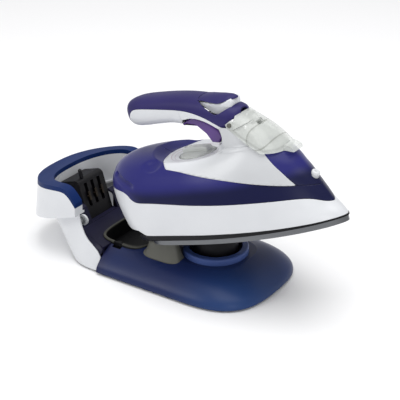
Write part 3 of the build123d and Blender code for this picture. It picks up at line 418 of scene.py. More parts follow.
def flow(knots, at, closed=False):
    """Smooth line through knots: each piece is a cubic whose end slopes are the chords
    of the neighbouring knots.  at counts knots, so 2.5 is halfway from the third on."""
    knots = np.asarray(knots, float)
    count = len(knots)
    at = np.asarray(at, float)
    first = np.floor(at).astype(int)
    if not closed:
        first = np.clip(first, 0, count - 2)
    share = (at - first)[..., None]

    def knot(number):
        return knots[number % count] if closed else knots[np.clip(number, 0, count - 1)]

    before, low, high, after = (knot(first + k) for k in (-1, 0, 1, 2))
    slope_low, slope_high = (high - before) / 2, (after - low) / 2
    square, cube = share**2, share**3
    return (
        (2 * cube - 3 * square + 1) * low
        + (cube - 2 * square + share) * slope_low
        + (3 * square - 2 * cube) * high
        + (cube - square) * slope_high
    )


def smooth_loop(knots, steps):
    """Points along a closed smooth line through knots."""
    return flow(knots, np.arange(steps) * len(knots) / steps, closed=True)


def grid_faces(rows, columns, around=True):
    """Quads between neighbouring rows of points; around joins the last column to the first."""
    last = columns if around else columns - 1
    row, column = np.meshgrid(np.arange(rows - 1), np.arange(last), indexing="ij")
    beside = (column + 1) % columns
    corners = (
        row * columns + column,
        row * columns + beside,
        (row + 1) * columns + beside,
        (row + 1) * columns + column,
    )
    return np.stack(corners, -1).reshape(-1, 4)


def made_piece(name, points, faces, finish, body, replaced=()):
    """A mesh object at the origin, smooth shaded, that rides on a body."""
    mesh = bpy.data.meshes.new(name)
    corners = np.asarray(points, float).reshape(-1, 3)
    mesh.from_pydata(corners.tolist(), [], [list(face) for face in faces])
    mesh.update()
    mesh.polygons.foreach_set("use_smooth", [True] * len(mesh.polygons))
    mesh.materials.append(FINISHES[finish])
    made = bpy.data.objects.new(name, mesh)
    bpy.context.scene.collection.objects.link(made)
    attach(made, body)
    if replaced:
        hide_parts(*replaced)
    return made


def tube_grid(rings):
    """Faces of a closed skin over rings of equal length, with an end face at each end."""
    rows, columns = rings.shape[:2]
    first = range(columns)
    last = [(rows - 1) * columns + corner for corner in first]
    return [*grid_faces(rows, columns), first[::-1], last]


def outward(rings):
    """True if a skin over these rings faces outwards with its rings as they run: the sum of
    (run of the middles x way out) . (step to the next point) is above 0."""
    middle = rings.mean(1, keepdims=True)
    beside = np.roll(rings, -1, 1) - rings
    out = rings - middle
    axis = np.gradient(rings.mean(1), axis=0)[:, None, :]
    return float(np.sum(np.cross(axis, out) * beside)) > 0


def skin(name, rings, *rest, **options):
    """Closed skin over rings, turned to face outwards."""
    rings = np.asarray(rings, float)
    if not outward(rings):
        rings = rings[:, ::-1]
    return made_piece(name, rings, tube_grid(rings), *rest, **options)


def shrunk(loop, amount):
    """A side-view loop (t, z) moved inwards along its normal by an amount.  The sign of the
    loop's area says which way it runs."""
    tangent = np.roll(loop, -1, 0) - np.roll(loop, 1, 0)
    tangent /= np.linalg.norm(tangent, axis=1, keepdims=True) + TINY
    normal = np.stack([-tangent[:, 1], tangent[:, 0]], 1)
    area = np.sum(loop[:, 0] * np.roll(loop[:, 1], -1) - np.roll(loop[:, 0], -1) * loop[:, 1])
    return loop + normal * amount * np.sign(area)


def pillow(loop, half, radius, levels=7):
    """Rings of a side-view loop carried across: near each side the loop moves inwards by
    radius * (1 - sqrt(1 - s * s)) as s goes from 0 to 1 over the last radius."""
    share = np.sin(np.linspace(0, np.pi / 2, levels))
    across = np.concatenate([-half + radius * (1 - share[::-1]), half - radius * (1 - share)])
    inward = radius * (1 - np.sqrt(np.clip(1 - np.concatenate([share[::-1], share]) ** 2, 0, 1)))
    rings = []
    for y, amount in zip(across, inward):
        ring = shrunk(loop, amount)
        rings.append(np.stack([ring[:, 0], np.full(len(ring), y), ring[:, 1]], 1))
    return np.array(rings)


def turned(profile, centre, axis, steps, ribs=0, depth=0.0, rows=()):
    """A profile (radius, height) turned about an axis through a centre, in the iron frame.
    On the given rows the radius is r - depth * (1 + cos(ribs * angle)) / 2."""
    axis = np.asarray(axis, float) / np.linalg.norm(axis)
    side = np.cross(axis, (0, 1, 0))
    side /= np.linalg.norm(side)
    other = np.cross(axis, side)
    angle = np.arange(steps) * 2 * np.pi / steps
    rings = []
    for number, (radius, height) in enumerate(profile):
        reach = np.full(steps, float(radius))
        if number in rows:
            reach -= depth * (1 + np.cos(ribs * angle)) / 2
        ring = reach[:, None] * (np.cos(angle)[:, None] * side + np.sin(angle)[:, None] * other)
        rings.append(np.asarray(centre, float) + ring + height * axis)
    return np.array(rings)


# ---------------------------------------------------------------- cutting skins to outlines
LINE_STEPS = 8         # points of a side-view line between two knots


def line_of(*knots):
    """An open smooth side-view line through (t, z) knots."""
    pieces = len(knots) - 1
    return flow(knots, np.linspace(0, pieces, pieces * LINE_STEPS + 1))


def beyond(outline, t, z):
    """Signed distance from a closed side-view outline: negative inside it.  The sign is
    from how often a level ray crosses the outline's sides."""
    outline = np.asarray(outline, float)
    far = np.roll(outline, -1, 0)
    run = far - outline
    spot = np.stack([t, z], -1)[..., None, :]
    share = np.sum((spot - outline) * run, -1) / (np.sum(run * run, -1) + TINY)
    nearest = outline + np.clip(share, 0, 1)[..., None] * run
    distance = np.sqrt(np.sum((spot - nearest) ** 2, -1)).min(-1)
    level = spot[..., 1]
    crosses = (outline[:, 1] > level) != (far[:, 1] > level)
    rise = np.where(run[:, 1] == 0, TINY, run[:, 1])
    reach = outline[:, 0] + (level - outline[:, 1]) / rise * run[:, 0]
    inside = np.sum(crosses & (spot[..., 0] < reach), -1) % 2 == 1
    return np.where(inside, -distance, distance)


def cut_skin(points, field, around=True):
    """The part of a grid skin where the field is negative.  Each point just outside moves
    along the grid to where the field is zero, so the edge is smooth."""
    rows, columns = field.shape
    moved = points.copy()
    best = np.full(field.shape, np.inf)
    for down in (-1, 0, 1):
        for beside in (-1, 0, 1):
            if not (down or beside):
                continue
            near = np.roll(field, (-down, -beside), (0, 1))
            place = np.roll(points, (-down, -beside), (0, 1))
            usable = (field > 0) & (near <= 0)
            if down:
                usable[-1 if down > 0 else 0] = False
            if beside and not around:
                usable[:, -1 if beside > 0 else 0] = False
            share = field / np.where(usable, field - near, 1.0)
            step = (place - points) * share[..., None]
            length = np.where(usable, np.linalg.norm(step, axis=-1), np.inf)
            better = length < best
            best = np.where(better, length, best)
            moved = np.where(better[..., None], points + step, moved)
    faces = grid_faces(rows, columns, around)
    kept = faces[(field.reshape(-1)[faces] <= 0).any(1)]
    used, numbers = np.unique(kept, return_inverse=True)
    return moved.reshape(-1, 3)[used], numbers.reshape(-1, 4)


def on_base(points):
    """Metres from millimetres in the level frame of the base."""
    return np.asarray(points, float) * MM


def cut_piece(name, surface, field, finish, body, wall=2.0, around=True, put=placed, replaced=()):
    """A walled piece of a surface where the field is negative; the wall grows inwards."""
    points, faces = cut_skin(surface, field, around)
    made = made_piece(name, put(points), faces, finish, body, replaced)
    mesh = made.data
    mesh.validate()
    thick = made.modifiers.new("wall", "SOLIDIFY")
    thick.thickness = wall * MM
    thick.offset = -1.0
    return made


# ---------------------------------------------------------------- shells of the iron
HULL = np.array([      # height, half width, nose and tail of each level of the housing
    (5.6, 59.2, -1.2, 246.0), (12.0, 61.0, 3.0, 251.0), (22.0, 62.0, 11.0, 256.0),
    (32.0, 61.6, 16.5, 260.0), (42.0, 60.2, 22.0, 263.5), (52.0, 57.4, 28.0, 266.5),
    (59.0, 54.6, 34.0, 267.5), (65.0, 51.4, 38.5, 267.3), (72.0, 46.5, 44.5, 264.5),
    (79.5, 39.0, 50.0, 256.5), (84.5, 29.0, 55.0, 245.5), (87.3, 18.5, 64.0, 233.0),
    (88.4, 8.0, 88.0, 222.0), (88.6, 0.6, 120.0, 200.0),
])
DECK_TOP = 88.4        # the column's own rows start over this height
TOWER = np.array([     # height, half width, nose and tail of the column under the handle
    (40.0, 34.0, 40.0, 136.0), (66.0, 33.0, 46.0, 133.0), (80.0, 29.5, 56.0, 127.0),
    (90.0, 26.8, 63.0, 123.5), (100.0, 24.2, 71.0, 121.0), (109.0, 21.5, 80.0, 119.5),
    (120.0, 19.0, 91.0, 118.5),
])
HANDLE = np.array([    # distance, underside, top and half width of the grip
    (226.2, 129.0, 133.0, 2.0), (225.8, 125.5, 136.0, 6.0), (224.2, 120.5, 138.8, 11.0),
    (218.5, 116.4, 141.2, 15.5), (207.0, 115.4, 142.6, 17.6), (188.0, 115.8, 142.4, 18.2),
    (168.0, 115.2, 141.4, 18.3), (148.0, 110.0, 139.4, 18.3), (130.0, 103.0, 136.0, 18.1),
    (112.0, 99.0, 130.0, 17.6), (102.5, 100.0, 125.6, 16.8), (97.0, 103.0, 123.4, 15.0),
    (93.0, 107.5, 121.6, 11.5), (90.5, 112.0, 120.2, 6.0),
])
CENTRE = 95.0          # the column and the housing are joined in rays from here
SEAM = 0.12            # each shell stops this far from the line it shares with the next
GRIP_SEAM = 0.15       # the same between the grip's two colours
AWAY = 9.0             # a field's value where its piece has no edge nearby


def wave(low, high, at):
    """0 below low, 1 above high, and smooth between: s * s * (3 - 2 * s)."""
    share = np.clip((at - low) / (high - low), 0, 1)
    return share * share * (3 - 2 * share)


def rows_of(table, steps):
    """Smooth values between the levels of a table, steps to each."""
    return flow(table, np.linspace(0, len(table) - 1, (len(table) - 1) * steps + 1))


SHOULDER, STERN = 150.0, 190.0     # the flanks are straight between these distances


def boat(level, side=90, flank=16, stern=54):
    """Boat-shaped loops: y = half * (1 - (1 - s) ** 2) ** (2 / 3) from the nose to the
    shoulder, straight flanks, then a superellipse stern; one loop to each level."""
    z, half, nose, tail = (level[:, k : k + 1] for k in range(4))
    share = (np.linspace(0, 1, side) ** 1.7)[None]
    shoulder = np.maximum(SHOULDER, nose + 1)
    along = nose + (shoulder - nose) * share
    across = half * (1 - (1 - share) ** 2) ** (2 / 3)
    rear = np.minimum(STERN, tail - 4)
    straight = np.linspace(0, 1, flank + 1)[None, 1:]
    along = np.concatenate([along, shoulder + (rear - shoulder) * straight], 1)
    across = np.concatenate([across, half * np.ones_like(straight)], 1)
    turn = np.linspace(0, np.pi / 2, stern + 1)[None, 1:]
    along = np.concatenate([along, rear + (tail - rear) * np.sin(turn) ** (2 / 2.3)], 1)
    across = np.concatenate([across, half * np.clip(np.cos(turn), 0, 1)], 1)
    t = np.concatenate([along, along[:, -2:0:-1]], 1)
    y = np.concatenate([across, -across[:, -2:0:-1]], 1)
    return np.stack([t, y, z * np.ones_like(t)], -1)


SCOOP_FRONT, SCOOP_BACK, SCOOP_SIDE = 42.0, 32.0, 38.0     # reach of the scoop round the dial
SCOOP_FLOOR = 77.9
HOLLOW = (190.0, 38.5)             # distance and offset across of a shoulder's oval hollow
HOLLOW_SIZE = (10.5, 5.6, 3.2)     # its half length, half width and depth
SLOT_REAR, SLOT_RUN = np.array([244.0, 71.0]), np.array([-35.0, -10.5])
SLOT_DEPTH = 2.3
FLAT_DEPTH = 1.4                   # flat at the heel that clears the connector


def pressed(points):
    """The housing with its hollows.  Round the dial the deck is lowered to a floor that
    rises outwards by smooth steps, on each shoulder there is a dip of depth * exp(-r ** 4),
    each rear corner has a slot of smooth depth about a line, and the heel has a flat."""
    t, y, z = points[..., 0], points[..., 1], points[..., 2]
    reach = np.where(t > DIAL_PLACE, SCOOP_BACK, SCOOP_FRONT)
    away = np.hypot((t - DIAL_PLACE) / reach, y / SCOOP_SIDE)
    floor = SCOOP_FLOOR + 2.6 * wave(0.6, 1.0, away) + 9.0 * wave(1.0, 1.62, away)
    sunk = np.clip(z - floor, 0, None)
    low = z - sunk * (1 - wave(87.0, 96.0, z))
    length, width, depth = HOLLOW_SIZE
    oval = ((t - HOLLOW[0]) / length) ** 2 + ((np.abs(y) - HOLLOW[1]) / width) ** 2
    low = low - depth * np.exp(-(oval**2)) * wave(60.0, 68.0, z) * (z < 88)
    past_t, past_z = t - SLOT_REAR[0], z - SLOT_REAR[1]
    share = (past_t * SLOT_RUN[0] + past_z * SLOT_RUN[1]) / (SLOT_RUN @ SLOT_RUN)
    share = np.clip(share, 0, 1)
    gap = np.hypot(past_t - share * SLOT_RUN[0], past_z - share * SLOT_RUN[1])
    slot = SLOT_DEPTH * (1 - wave(1.4, 3.4, gap)) * (1 - wave(0.7, 1.0, share))
    flat = FLAT_DEPTH * (1 - wave(21.0, 27.0, np.abs(y))) * wave(18.0, 24.0, z)
    flat = flat * (1 - wave(70.0, 76.0, z)) * wave(250.0, 256.0, t)
    return np.stack([t - slot - flat, y - slot * np.sign(y), low], -1)


def oval_ring(front, back, half, power, steps):
    """Closed superellipse between two distances, half wide: |u|^p + |v|^p = 1."""
    angle = (np.arange(steps) * 2 * np.pi / steps)[None]
    u, v = np.cos(angle), np.sin(angle)
    u = np.sign(u) * np.abs(u) ** (2 / power)
    v = np.sign(v) * np.abs(v) ** (2 / power)
    return (front + back) / 2 + (back - front) / 2 * u, half * v


def at_height(table, z):
    """Smooth values of a table at given heights."""
    fine = rows_of(table, 40)
    return np.stack([z] + [np.interp(z, fine[:, 0], fine[:, k]) for k in range(1, 4)], 1)


def rays(t, y, angles):
    """Distance from the centre to each closed loop along rays at the given angles."""
    out = []
    for along, across in zip(t - CENTRE, y):
        turn = np.arctan2(across, along) % (2 * np.pi)
        order = np.argsort(turn)
        reach = np.hypot(along, across)[order]
        out.append(np.interp(angles % (2 * np.pi), turn[order], reach, period=2 * np.pi))
    return np.array(out)


COLUMN_FOOT = 7.0      # radius of the fillet where the column stands on the deck


def upper_grid(columns=360, soft=17.0):
    """Housing and column as one skin of rows from the waist up.  Along each ray the reach is
    max(a, b) + soft * h * h / 4 with h = max(0, 1 - |a - b| / soft).  Under DECK_TOP a row
    is level.  The deck's rows run inwards from the top level row to the column's foot, and
    each takes its height from the housing level that reaches as far.  Above, the column
    starts in a quarter-round fillet."""
    rim, top = 84.5, 88.59         # highest level row, and the housing's own top
    z = [np.linspace(33, 74, 26), np.linspace(74.5, rim, 34), np.linspace(88.5, 120, 38)]
    z = np.concatenate(z)
    angles = np.pi - np.arange(columns) * 2 * np.pi / columns
    loops = boat(at_height(HULL, z))
    housing = rays(loops[..., 0], loops[..., 1], angles) * (z <= DECK_TOP)[:, None]
    level = at_height(TOWER, z)
    column = rays(*oval_ring(level[:, 2:3], level[:, 3:4], level[:, 1:2], 2.1, 400), angles)
    near = np.clip(1 - np.abs(housing - column) / soft, 0, 1)
    reach = np.maximum(housing, column) + soft * near**2 / 4
    edge = np.searchsorted(z, DECK_TOP) - 1
    foot = COLUMN_FOOT * wave(0.0, 10.0, housing[edge] - column[edge])[None]
    share = np.clip((z[:, None] - DECK_TOP) / np.maximum(foot, 0.1), 0, 1)
    fillet = foot * (1 - np.sqrt(1 - (1 - share) ** 2))
    reach = np.where(z[:, None] > DECK_TOP, column + fillet, reach)

    share = np.linspace(0, 1, 64)[1:-1, None]
    deck = reach[edge] + (reach[edge + 1] - reach[edge]) * share
    fine = np.linspace(rim, top, 60)
    loops = boat(at_height(HULL, fine))
    across = rays(loops[..., 0], loops[..., 1], angles)
    high = [np.interp(-deck[:, k], -across[:, k], fine) for k in range(columns)]
    high = np.minimum(np.stack(high, 1), DECK_TOP)

    reach = np.concatenate([reach[: edge + 1], deck, reach[edge + 1 :]])
    z = z[:, None] * np.ones((1, columns))
    z = np.concatenate([z[: edge + 1], high, z[edge + 1 :]])
    return np.stack([CENTRE + reach * np.cos(angles), reach * np.sin(angles), z], -1)


def handle_grid(steps=24, around=160):
    """Superellipse sections of the grip: |u| ** 2.5 + |v| ** 2.5 = 1 at each distance."""
    level = rows_of(HANDLE, steps)
    t, low, high, half = (level[:, k : k + 1] for k in range(4))
    z, y = oval_ring(low, high, half, 2.5, around)
    return np.stack([t * np.ones_like(z), y, z], -1)


# Side-view lines and outlines, as (t, z) knots or corners.
CREASE = line_of(      # skirt under it, band over it
    (-8, 17), (11, 21.5), (30, 31), (62, 36), (105, 40), (150, 43.5), (185, 46), (205, 47),
    (214, 50), (222, 55), (236, 57.5), (280, 58.0),
)
PANEL_LOW = line_of(   # lower edge of the white body
    (36, 44.5), (60, 51.6), (86, 58.5), (107, 63.6), (131, 69.0), (150, 73.0), (163, 75.0),
    (172, 76.2), (181, 76.8), (192, 77.1), (204, 77.3),
)
RECESS = line_of(      # front of the hand's gap, from the grip down to the deck
    (150, 119.6), (139, 119.8), (127, 116.2), (115.5, 109.6), (108.8, 102.8), (107.2, 97.0),
    (110.2, 91.6), (119, 88.6),
)
GRIP_EDGE = line_of(   # purple grip over it, white handle under it
    (98, 104.0), (107, 107.2), (113, 111.5), (126, 119.5), (141, 125.8), (158, 129.6),
    (186, 132.6), (207, 133.8), (215, 132.0), (219.5, 126.5), (221.5, 118), (222, 108),
)
STRIP_END = 4 * LINE_STEPS + 6     # the white body follows the grip's edge from here ...
STRIP_START = LINE_STEPS           # ... forwards to here
WHITE = np.concatenate([
    PANEL_LOW, [(204, 92), (124, 92), (124, 88)], RECESS[::-1],
    [(153.4, 119.4), (153.4, 128.8)], GRIP_EDGE[STRIP_END:STRIP_START:-1],
    [(99.2, 107.3), (63.5, 80.5)],
])
NOSE = [(36.3, 44.9), (63.6, 80.2), (50, 76.9), (42, 74.7), (30, 71.3), (5, 60), (5, 36.4),
        (15, 37.0)]
TANK_BED = [(63.5, 80.5), (50, 77.2), (30, 71.6), (0, 60), (0, 120), (100, 120)]
HEEL_STEP = [(203, -5), (203, 12), (213, 17), (300, 17), (300, -5)]


def sweep_over(line, below=True):
    """Closed outline of everything under, or over, an open side-view line."""
    level = -50.0 if below else 400.0
    return np.concatenate([line, [(line[-1][0], level), (line[0][0], level)]])


NOTCH = np.concatenate([       # room for the thumb rocker in the grip
    line_of((133.5, 135.5), (127.5, 130.6), (120, 125.2), (114, 120.9), (108.5, 120.4),
            (101, 122.4), (94, 124.4), (84, 126.2)),
    [(70, 127), (70, 170), (133.5, 170)],
])
SADDLE_LOW = [(60, 95), (60, 118.5), (84, 118.6), (92, 116.0), (99, 111.5), (106, 105.0),
              (107, 95)]
TRIGGER_ROOM = [(123, 80), (175, 80), (175, 110.9), (159.5, 110.9), (159.5, 114.5)]
SKIRT_LOW = line_of(   # black strip under it
    (-12, 7.0), (20, 7.6), (60, 9.0), (120, 11.0), (200, 12.0), (280, 12.2),
)
# The heel's opening for the connector: half width, middle height and half height.
SOCKET_HALF, SOCKET_MIDDLE, SOCKET_RISE = 18.0, 41.0, 16.0
HEEL_START, SHIELD_END = 230.0, 214.0
UNDER_START = 153.6                # the white underside of the grip starts here
SHELF_END, SHELF_ROUND = 190.0, 0.0108


def shelf_field(points):
    """Negative on the white body: inside its side-view outline and in front of the rounded
    rear end t = SHELF_END - SHELF_ROUND * y ** 2."""
    t, y, z = points[..., 0], points[..., 1], points[..., 2]
    end = np.where(t > 140, t - SHELF_END + SHELF_ROUND * y**2, -AWAY)
    return np.maximum(beyond(WHITE, t, z), end)


def cup_field(points):
    """Positive over the dial's cup, a round opening in the deck 0.6 mm wider than the dial."""
    t, y, z = points[..., 0], points[..., 1], points[..., 2]
    cup = DIAL_RADIUS + 0.6 - np.hypot(t - DIAL_PLACE, y)
    return np.where((z > 60) & (z < 88.2), cup, -AWAY)


def housing_shells():
    """Skirt, black strip, band, nose cover and white body, cut from two smooth surfaces.
    A field is the largest of its signed distances, so it is negative only where all are."""
    hull = boat(rows_of(HULL, 11))
    t, y, z = hull[..., 0], hull[..., 1], hull[..., 2]
    crease = beyond(sweep_over(CREASE), t, z)
    strip = beyond(sweep_over(SKIRT_LOW), t, z)
    sideways, upwards = np.abs(y) - SOCKET_HALF, np.abs(z - SOCKET_MIDDLE) - SOCKET_RISE
    socket = np.where(t > HEEL_START, np.maximum(sideways, upwards), AWAY)
    shaped = pressed(hull)
    skirt = np.maximum.reduce([crease + SEAM, -beyond(HEEL_STEP, t, z), -socket, -strip])
    cut_piece("skirt_shell", shaped, skirt, "white", "iron", replaced=["skirt"])
    edge = np.maximum(strip, t - SHIELD_END)
    cut_piece("shield_strip", hull, edge, "black", "iron", 1.2, replaced=["heat_shield"])
    band = np.maximum.reduce([
        -crease + SEAM, -shelf_field(shaped) + SEAM, -beyond(NOSE, t, z) + SEAM,
        -beyond(TANK_BED, t, z), -socket,
    ])
    cut_piece("band_shell", shaped, band, "purple", "iron", replaced=["body_band"])

    upper = upper_grid()
    nose = beyond(NOSE, upper[..., 0], upper[..., 2]) + SEAM
    cut_piece("nose_shell", upper, nose, "purple", "iron", replaced=["nose_cover"])
    upper = pressed(upper)
    white = np.maximum(shelf_field(upper), cup_field(upper))
    sides = ["right_housing", "left_housing"]
    cut_piece("white_body", upper, white, "shelf", "iron", replaced=sides)


def grip_shells():
    """The purple grip with its saddle, and the white underside and strip."""
    grip = handle_grid()
    t, z = grip[..., 0], grip[..., 2]
    edge = np.concatenate([[(60.0, 103.0)], GRIP_EDGE])
    purple = beyond(sweep_over(edge, below=False), t, z)
    cover = np.maximum.reduce([purple, -beyond(NOTCH, t, z), -beyond(SADDLE_LOW, t, z)])
    cut_piece("grip_shell", grip, cover, "grip", "iron", replaced=["grip_cover"])
    white = -purple + GRIP_SEAM
    room = beyond(np.concatenate([RECESS, TRIGGER_ROOM]), t, z)
    lower = np.maximum.reduce([white, UNDER_START - t, -room])
    cut_piece("handle_under", grip, lower, "white", "iron", replaced=["handle_shell"])
    cut_piece("handle_strip", grip, np.maximum(white, beyond(WHITE, t, z)), "white", "iron")


def rounded(name, loop, finish, body, half, radius, narrow=None, replaced=()):
    """A side-view loop carried across, half wide to each side, with sides rounded to a
    radius; narrow scales the width by distance, as (distances, shares)."""
    rings = pillow(smooth_loop(loop, 10), half, radius)
    if narrow:
        rings[..., 1] *= np.interp(rings[..., 0], *narrow)
    return skin(name, placed(rings), finish, body, replaced)


# The thumb pad's half width, crown height and droop of its sides, by distance.
PAD_HALF = ([92.5, 95, 101, 109, 121, 132], [0.6, 4.0, 10.0, 14.2, 14.0, 13.0])
PAD_CROWN = ([92.5, 100, 110, 121, 132], [133.9, 135.7, 137.2, 138.1, 138.6])
PAD_DROOP = ([90, 100, 109, 118, 126, 132], [0.2, 3.4, 5.6, 4.2, 2.2, 1.6])
PAD_HALF_THICK = 1.1
WEDGE = [(131, 134), (129, 129.6), (121, 123), (113.5, 118.4), (106, 118.0), (100, 120),
         (97.2, 123.4), (95.6, 128.4), (95.4, 132.2), (101, 131.6), (109, 129.6), (120, 132.0)]
WEDGE_NARROW = ([88, 94, 104, 114, 132], [0.42, 0.6, 0.9, 1.0, 0.98])


def thumb_pieces():
    """Thumb cap, a thin arrow-shaped pad, and the white rocker under it.  The pad's section
    is u = |cos a| ** 0.7, v = |sin a| ** 0.9 with their signs, and it falls by droop * u * u
    towards the sides."""
    t = 92.5 + 39.5 * np.linspace(0, 1, 40)
    tables = (PAD_HALF, PAD_CROWN, PAD_DROOP)
    half, crown, droop = (np.interp(t, *table)[:, None] for table in tables)
    turn = (np.arange(48) * 2 * np.pi / 48)[None]
    u = np.sign(np.cos(turn)) * np.abs(np.cos(turn)) ** 0.7
    v = np.sign(np.sin(turn)) * np.abs(np.sin(turn)) ** 0.9
    y = half * u
    z = (crown - PAD_HALF_THICK) - droop * u**2 + PAD_HALF_THICK * v
    rings = np.stack([t[:, None] * np.ones_like(y), y, z], -1)
    skin("thumb_pad", placed(rings), "grip", "rocker", replaced=["thumb_cap"])
    rounded("rocker_wedge", WEDGE, "white", "rocker", half=13.2, radius=2.0,
            narrow=WEDGE_NARROW, replaced=["thumb_rocker"])


TRIGGER = [(158.8, 113.6), (158.6, 111.1), (149.2, 110.7), (141.7, 108.9), (135.3, 103.7),
           (131, 96.7), (128.1, 91.2), (123, 89.6), (116.8, 91.2), (113.8, 95.5),
           (114.6, 100.3), (119.9, 107.1), (130.5, 113.9), (140.4, 118.0), (148.5, 119.8)]


def trigger_piece():
    """The violet trigger: a thin plate under the grip that ends in a round lobe."""
    rounded("trigger_lever", TRIGGER, "violet", "trigger", half=12.6, radius=2.6,
            replaced=["steam_trigger"])


DIAL_PROFILE = [       # radius and height of the knob, from its underside to its top
    (0.3, 75.0), (18.9, 75.0), (19.3, 76.0), (19.0, 78.4), (18.0, 79.4), (15.4, 80.6),
    (11.0, 81.4), (6.0, 81.6), (0.3, 81.6),
]
DIAL_BAR = [(174.2, 79.4), (173.6, 84.0), (170.8, 85.7), (158, 85.9), (145.2, 85.7),
            (142.4, 84.0), (141.8, 79.4), (146, 77.6), (170, 77.6)]


def dial_piece():
    """Clear thermostat dial: a disc with 48 ribs round its rim and a raised bar across it."""
    spans = len(DIAL_PROFILE) - 1
    profile = flow(DIAL_PROFILE, np.linspace(0, spans, 6 * spans + 1))
    rings = turned(profile, (DIAL_PLACE, 0, 0), UPRIGHT, 240, ribs=48, depth=0.6, rows=range(9, 28))
    skin("dial_knob", placed(rings), "dial", "dial", replaced=["thermostat_dial"])
    rounded("dial_bar", DIAL_BAR, "dial", "dial", half=5.6, radius=1.8)


# ---------------------------------------------------------------- pieces of the base
REAR_LEVELS = rows_of([     # height, half width and rear end of the white rear shell
    (2.5, 70.0, 165.0), (8.0, 68.6, 172.5), (16.0, 66.0, 182.5), (27.0, 63.0, 194.0),
    (40.0, 60.5, 205.0), (58.0, 59.0, 209.0),
], 14)
REAR_FLANK = (103.0, 107.5)            # its straight flanks lie between these distances back
REAR_MIDDLE, REAR_POWER = 108.0, 2.4   # its superellipse rear starts here, with this power
REAR_TOP = np.concatenate([            # its top line in side view, as (distance back, height)
    line_of((103, 17.0), (107.5, 22.0), (114.5, 26.4), (123, 31.0), (129.5, 38.0),
            (133.5, 46), (136, 55.4)),
    [(140, 55.4), (216, 30.0)],
])
NECK_HALF = 43.0                       # half width of the dock neck
RIM_TOP = ([103, 125, 146, 150], [26.3, 26.8, 27.8, 33.0])     # neck height by distance back


def base_piece(name, points, field, finish, wall, replaced=()):
    """A walled piece of the base from a skin that isn't closed round."""
    cut_piece(name, points, field, finish, "base", wall, False, on_base, replaced)


def rear_shell():
    """White rear of the base.  At each level the distance back is 108 + (rear - 108) *
    cos(a) ** (2 / 2.4) and the place across is half * sin(a) ** (2 / 2.4), behind straight
    flanks, and the shell is cut along its top line."""
    z, half, rear = (REAR_LEVELS[:, k : k + 1] for k in range(3))
    turn = np.linspace(-np.pi / 2, np.pi / 2, 201)[None]
    back = np.clip(np.cos(turn), 0, 1) ** (2 / REAR_POWER)
    x = REAR_MIDDLE + (rear - REAR_MIDDLE) * back
    y = half * np.sign(np.sin(turn)) * np.abs(np.sin(turn)) ** (2 / REAR_POWER)
    lead = np.linspace(*REAR_FLANK, 8)[None] * np.ones_like(z)
    x = np.concatenate([lead, x, lead[:, ::-1]], 1)
    y = np.concatenate([-half * np.ones_like(lead), y, half * np.ones_like(lead)], 1)
    points = np.stack([-x, y, z * np.ones_like(x)], -1)[:, ::-1]
    field = beyond(sweep_over(REAR_TOP), -points[..., 0], points[..., 2])
    base_piece("rear_cover", points, field, "white", 2.0, ["rear_shell"])


def neck_rims():
    """Navy shoulders that join the dock neck to the rear shell: over each point the height
    is top - (top - edge) * v ** 5, with v from 0 at the neck to 1 at the shell."""
    along = np.linspace(103.5, 150.0, 60)[:, None]
    share = np.linspace(0, 1, 24)[None]
    top = np.interp(along, *RIM_TOP)
    edge = np.minimum(np.interp(along, REAR_TOP[:, 0], REAR_TOP[:, 1]) + 0.6, top)
    high = top - (top - edge) * share**5
    level, half, rear = REAR_LEVELS.T
    half, rear = np.interp(high, level, half) - 1.2, np.interp(high, level, rear)
    round_back = np.clip((along - REAR_MIDDLE) / (rear - REAR_MIDDLE), 0, 1)
    half = half * (1 - round_back**REAR_POWER) ** (1 / REAR_POWER)
    across = NECK_HALF + (half - NECK_HALF) * share
    for side, name in ((-1, "neck_rim_right"), (1, "neck_rim_left")):
        points = np.stack([-along * np.ones_like(across), side * across, high], -1)[:, ::side]
        base_piece(name, points, -np.ones(across.shape), "navy", 1.6)


PAD_PLACE, PAD_OUT = -41.0, 36.5   # middle of a rest along the base and across it
PAD_FOOT = 24.5                    # height of the tongue under the rests


def rest_pads():
    """Two low rests under the sole: superellipse rings that flare towards the tongue by
    (1 - s) ** 2, with tops that close and follow the sole 1.2 mm under it."""
    rise = np.concatenate([np.linspace(0, 0.94, 16), np.sin(np.linspace(1.22, np.pi / 2, 8))])
    close = np.concatenate([np.ones(16), [0.985, 0.95, 0.9, 0.8, 0.6, 0.4, 0.2, 0.02]])
    rise, close = rise[:, None], close[:, None]
    flare = (1 - rise) ** 2
    length = 17 + 8 * flare
    for side, name in ((-1, "rest_pad_right"), (1, "rest_pad_left")):
        x, y = oval_ring(-length, length, 6.4 + 5.5 * flare, 3.0, 72)
        x, y = PAD_PLACE + x * close, side * PAD_OUT + y * close
        top = SOLE_RISE - 1.2 + x * math.tan(PITCH)
        rings = np.stack([x, y, PAD_FOOT + (top - PAD_FOOT) * rise], -1)
        skin(name, on_base(rings), "grey", "base", ["rest_blocks"] if side < 0 else ())


NOZZLE_PROFILE = [     # radius and height of the spray nozzle over the nose cover
    (0.3, -4.0), (4.2, -4.0), (4.3, 2.0), (3.9, 3.0), (2.6, 3.4), (1.6, 3.0), (1.2, 1.6),
    (0.3, 1.5),
]
NOZZLE_PLACE = (25.2, 0, 48.8)
NOZZLE_SLOPE = math.radians(57.0)


def nozzle_piece():
    """Spray nozzle: a collar with a rounded lip and a small eye, square to the nose cover."""
    axis = (-math.cos(NOZZLE_SLOPE), 0, math.sin(NOZZLE_SLOPE))
    rings = turned(NOZZLE_PROFILE, NOZZLE_PLACE, axis, 48)
    skin("nozzle_cap", placed(rings), "white", "iron", replaced=["spray_nozzle"])


housing_shells()
grip_shells()
rear_shell()
neck_rims()
rest_pads()
nozzle_piece()
thumb_pieces()
trigger_piece()
dial_piece()


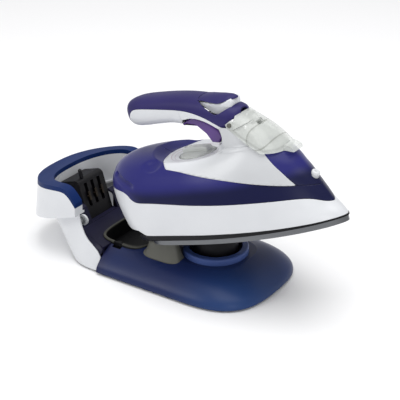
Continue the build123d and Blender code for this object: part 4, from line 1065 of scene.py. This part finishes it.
# ---------------------------------------------------------------- stage, light and camera
def stage():
    """A plain pale floor, 12 m square, that meets a white surround."""
    reach = 6.0
    corners = [(-reach, -reach, 0), (reach, -reach, 0), (reach, reach, 0), (-reach, reach, 0)]
    mesh = bpy.data.meshes.new("floor")
    mesh.from_pydata(corners, [], [(0, 1, 2, 3)])
    floor = bpy.data.objects.new("floor", mesh)
    bpy.context.scene.collection.objects.link(floor)
    g = Graph("floor_white")
    pale = g.mix(g.noise(2.0), tone(244, 244, 245), tone(248, 248, 249))
    mesh.materials.append(g.surface(Base_Color=pale, Roughness=0.8))


def lamp(name, place, target, size, power):
    """A rectangular soft lamp that faces a target."""
    data = bpy.data.lights.new(name, "AREA")
    data.shape = "RECTANGLE"
    data.size, data.size_y = size
    data.energy = power
    made = bpy.data.objects.new(name, data)
    bpy.context.scene.collection.objects.link(made)
    made.location = place
    aim = Vector(np.subtract(target, place))
    made.rotation_euler = aim.to_track_quat("-Z", "Y").to_euler()


def lights():
    """White surround and three soft lamps that face the middle of the iron."""
    world = bpy.data.worlds.new("studio")
    world.use_nodes = True
    bpy.context.scene.world = world
    surround = world.node_tree.nodes["Background"].inputs
    surround["Color"].default_value = (1, 1, 1, 1)
    surround["Strength"].default_value = 0.62
    middle = (0, 0, 0.1)
    lamp("overhead", (0.1, 0.1, 1.5), middle, (1.6, 1.2), 16)
    lamp("key", (-0.9, -1.1, 1.1), middle, (0.7, 0.7), 6)
    lamp("front", (1.2, -0.9, 0.7), middle, (0.5, 0.9), 3)


def camera():
    """A long lens, 34 degrees round to the nose side and 26 degrees up."""
    around, above = math.radians(34.0), math.radians(26.0)
    data = bpy.data.cameras.new("camera")
    data.sensor_width = 36.0
    data.lens = 108.0
    data.clip_end = 50.0
    made = bpy.data.objects.new("camera", data)
    bpy.context.scene.collection.objects.link(made)
    made.location = (0.60675, -0.92885, 0.62716)
    made.rotation_euler = (math.pi / 2 - above, 0, around)
    bpy.context.scene.camera = made


stage()
lights()
camera()
bpy.context.scene.view_settings.view_transform = "Standard"
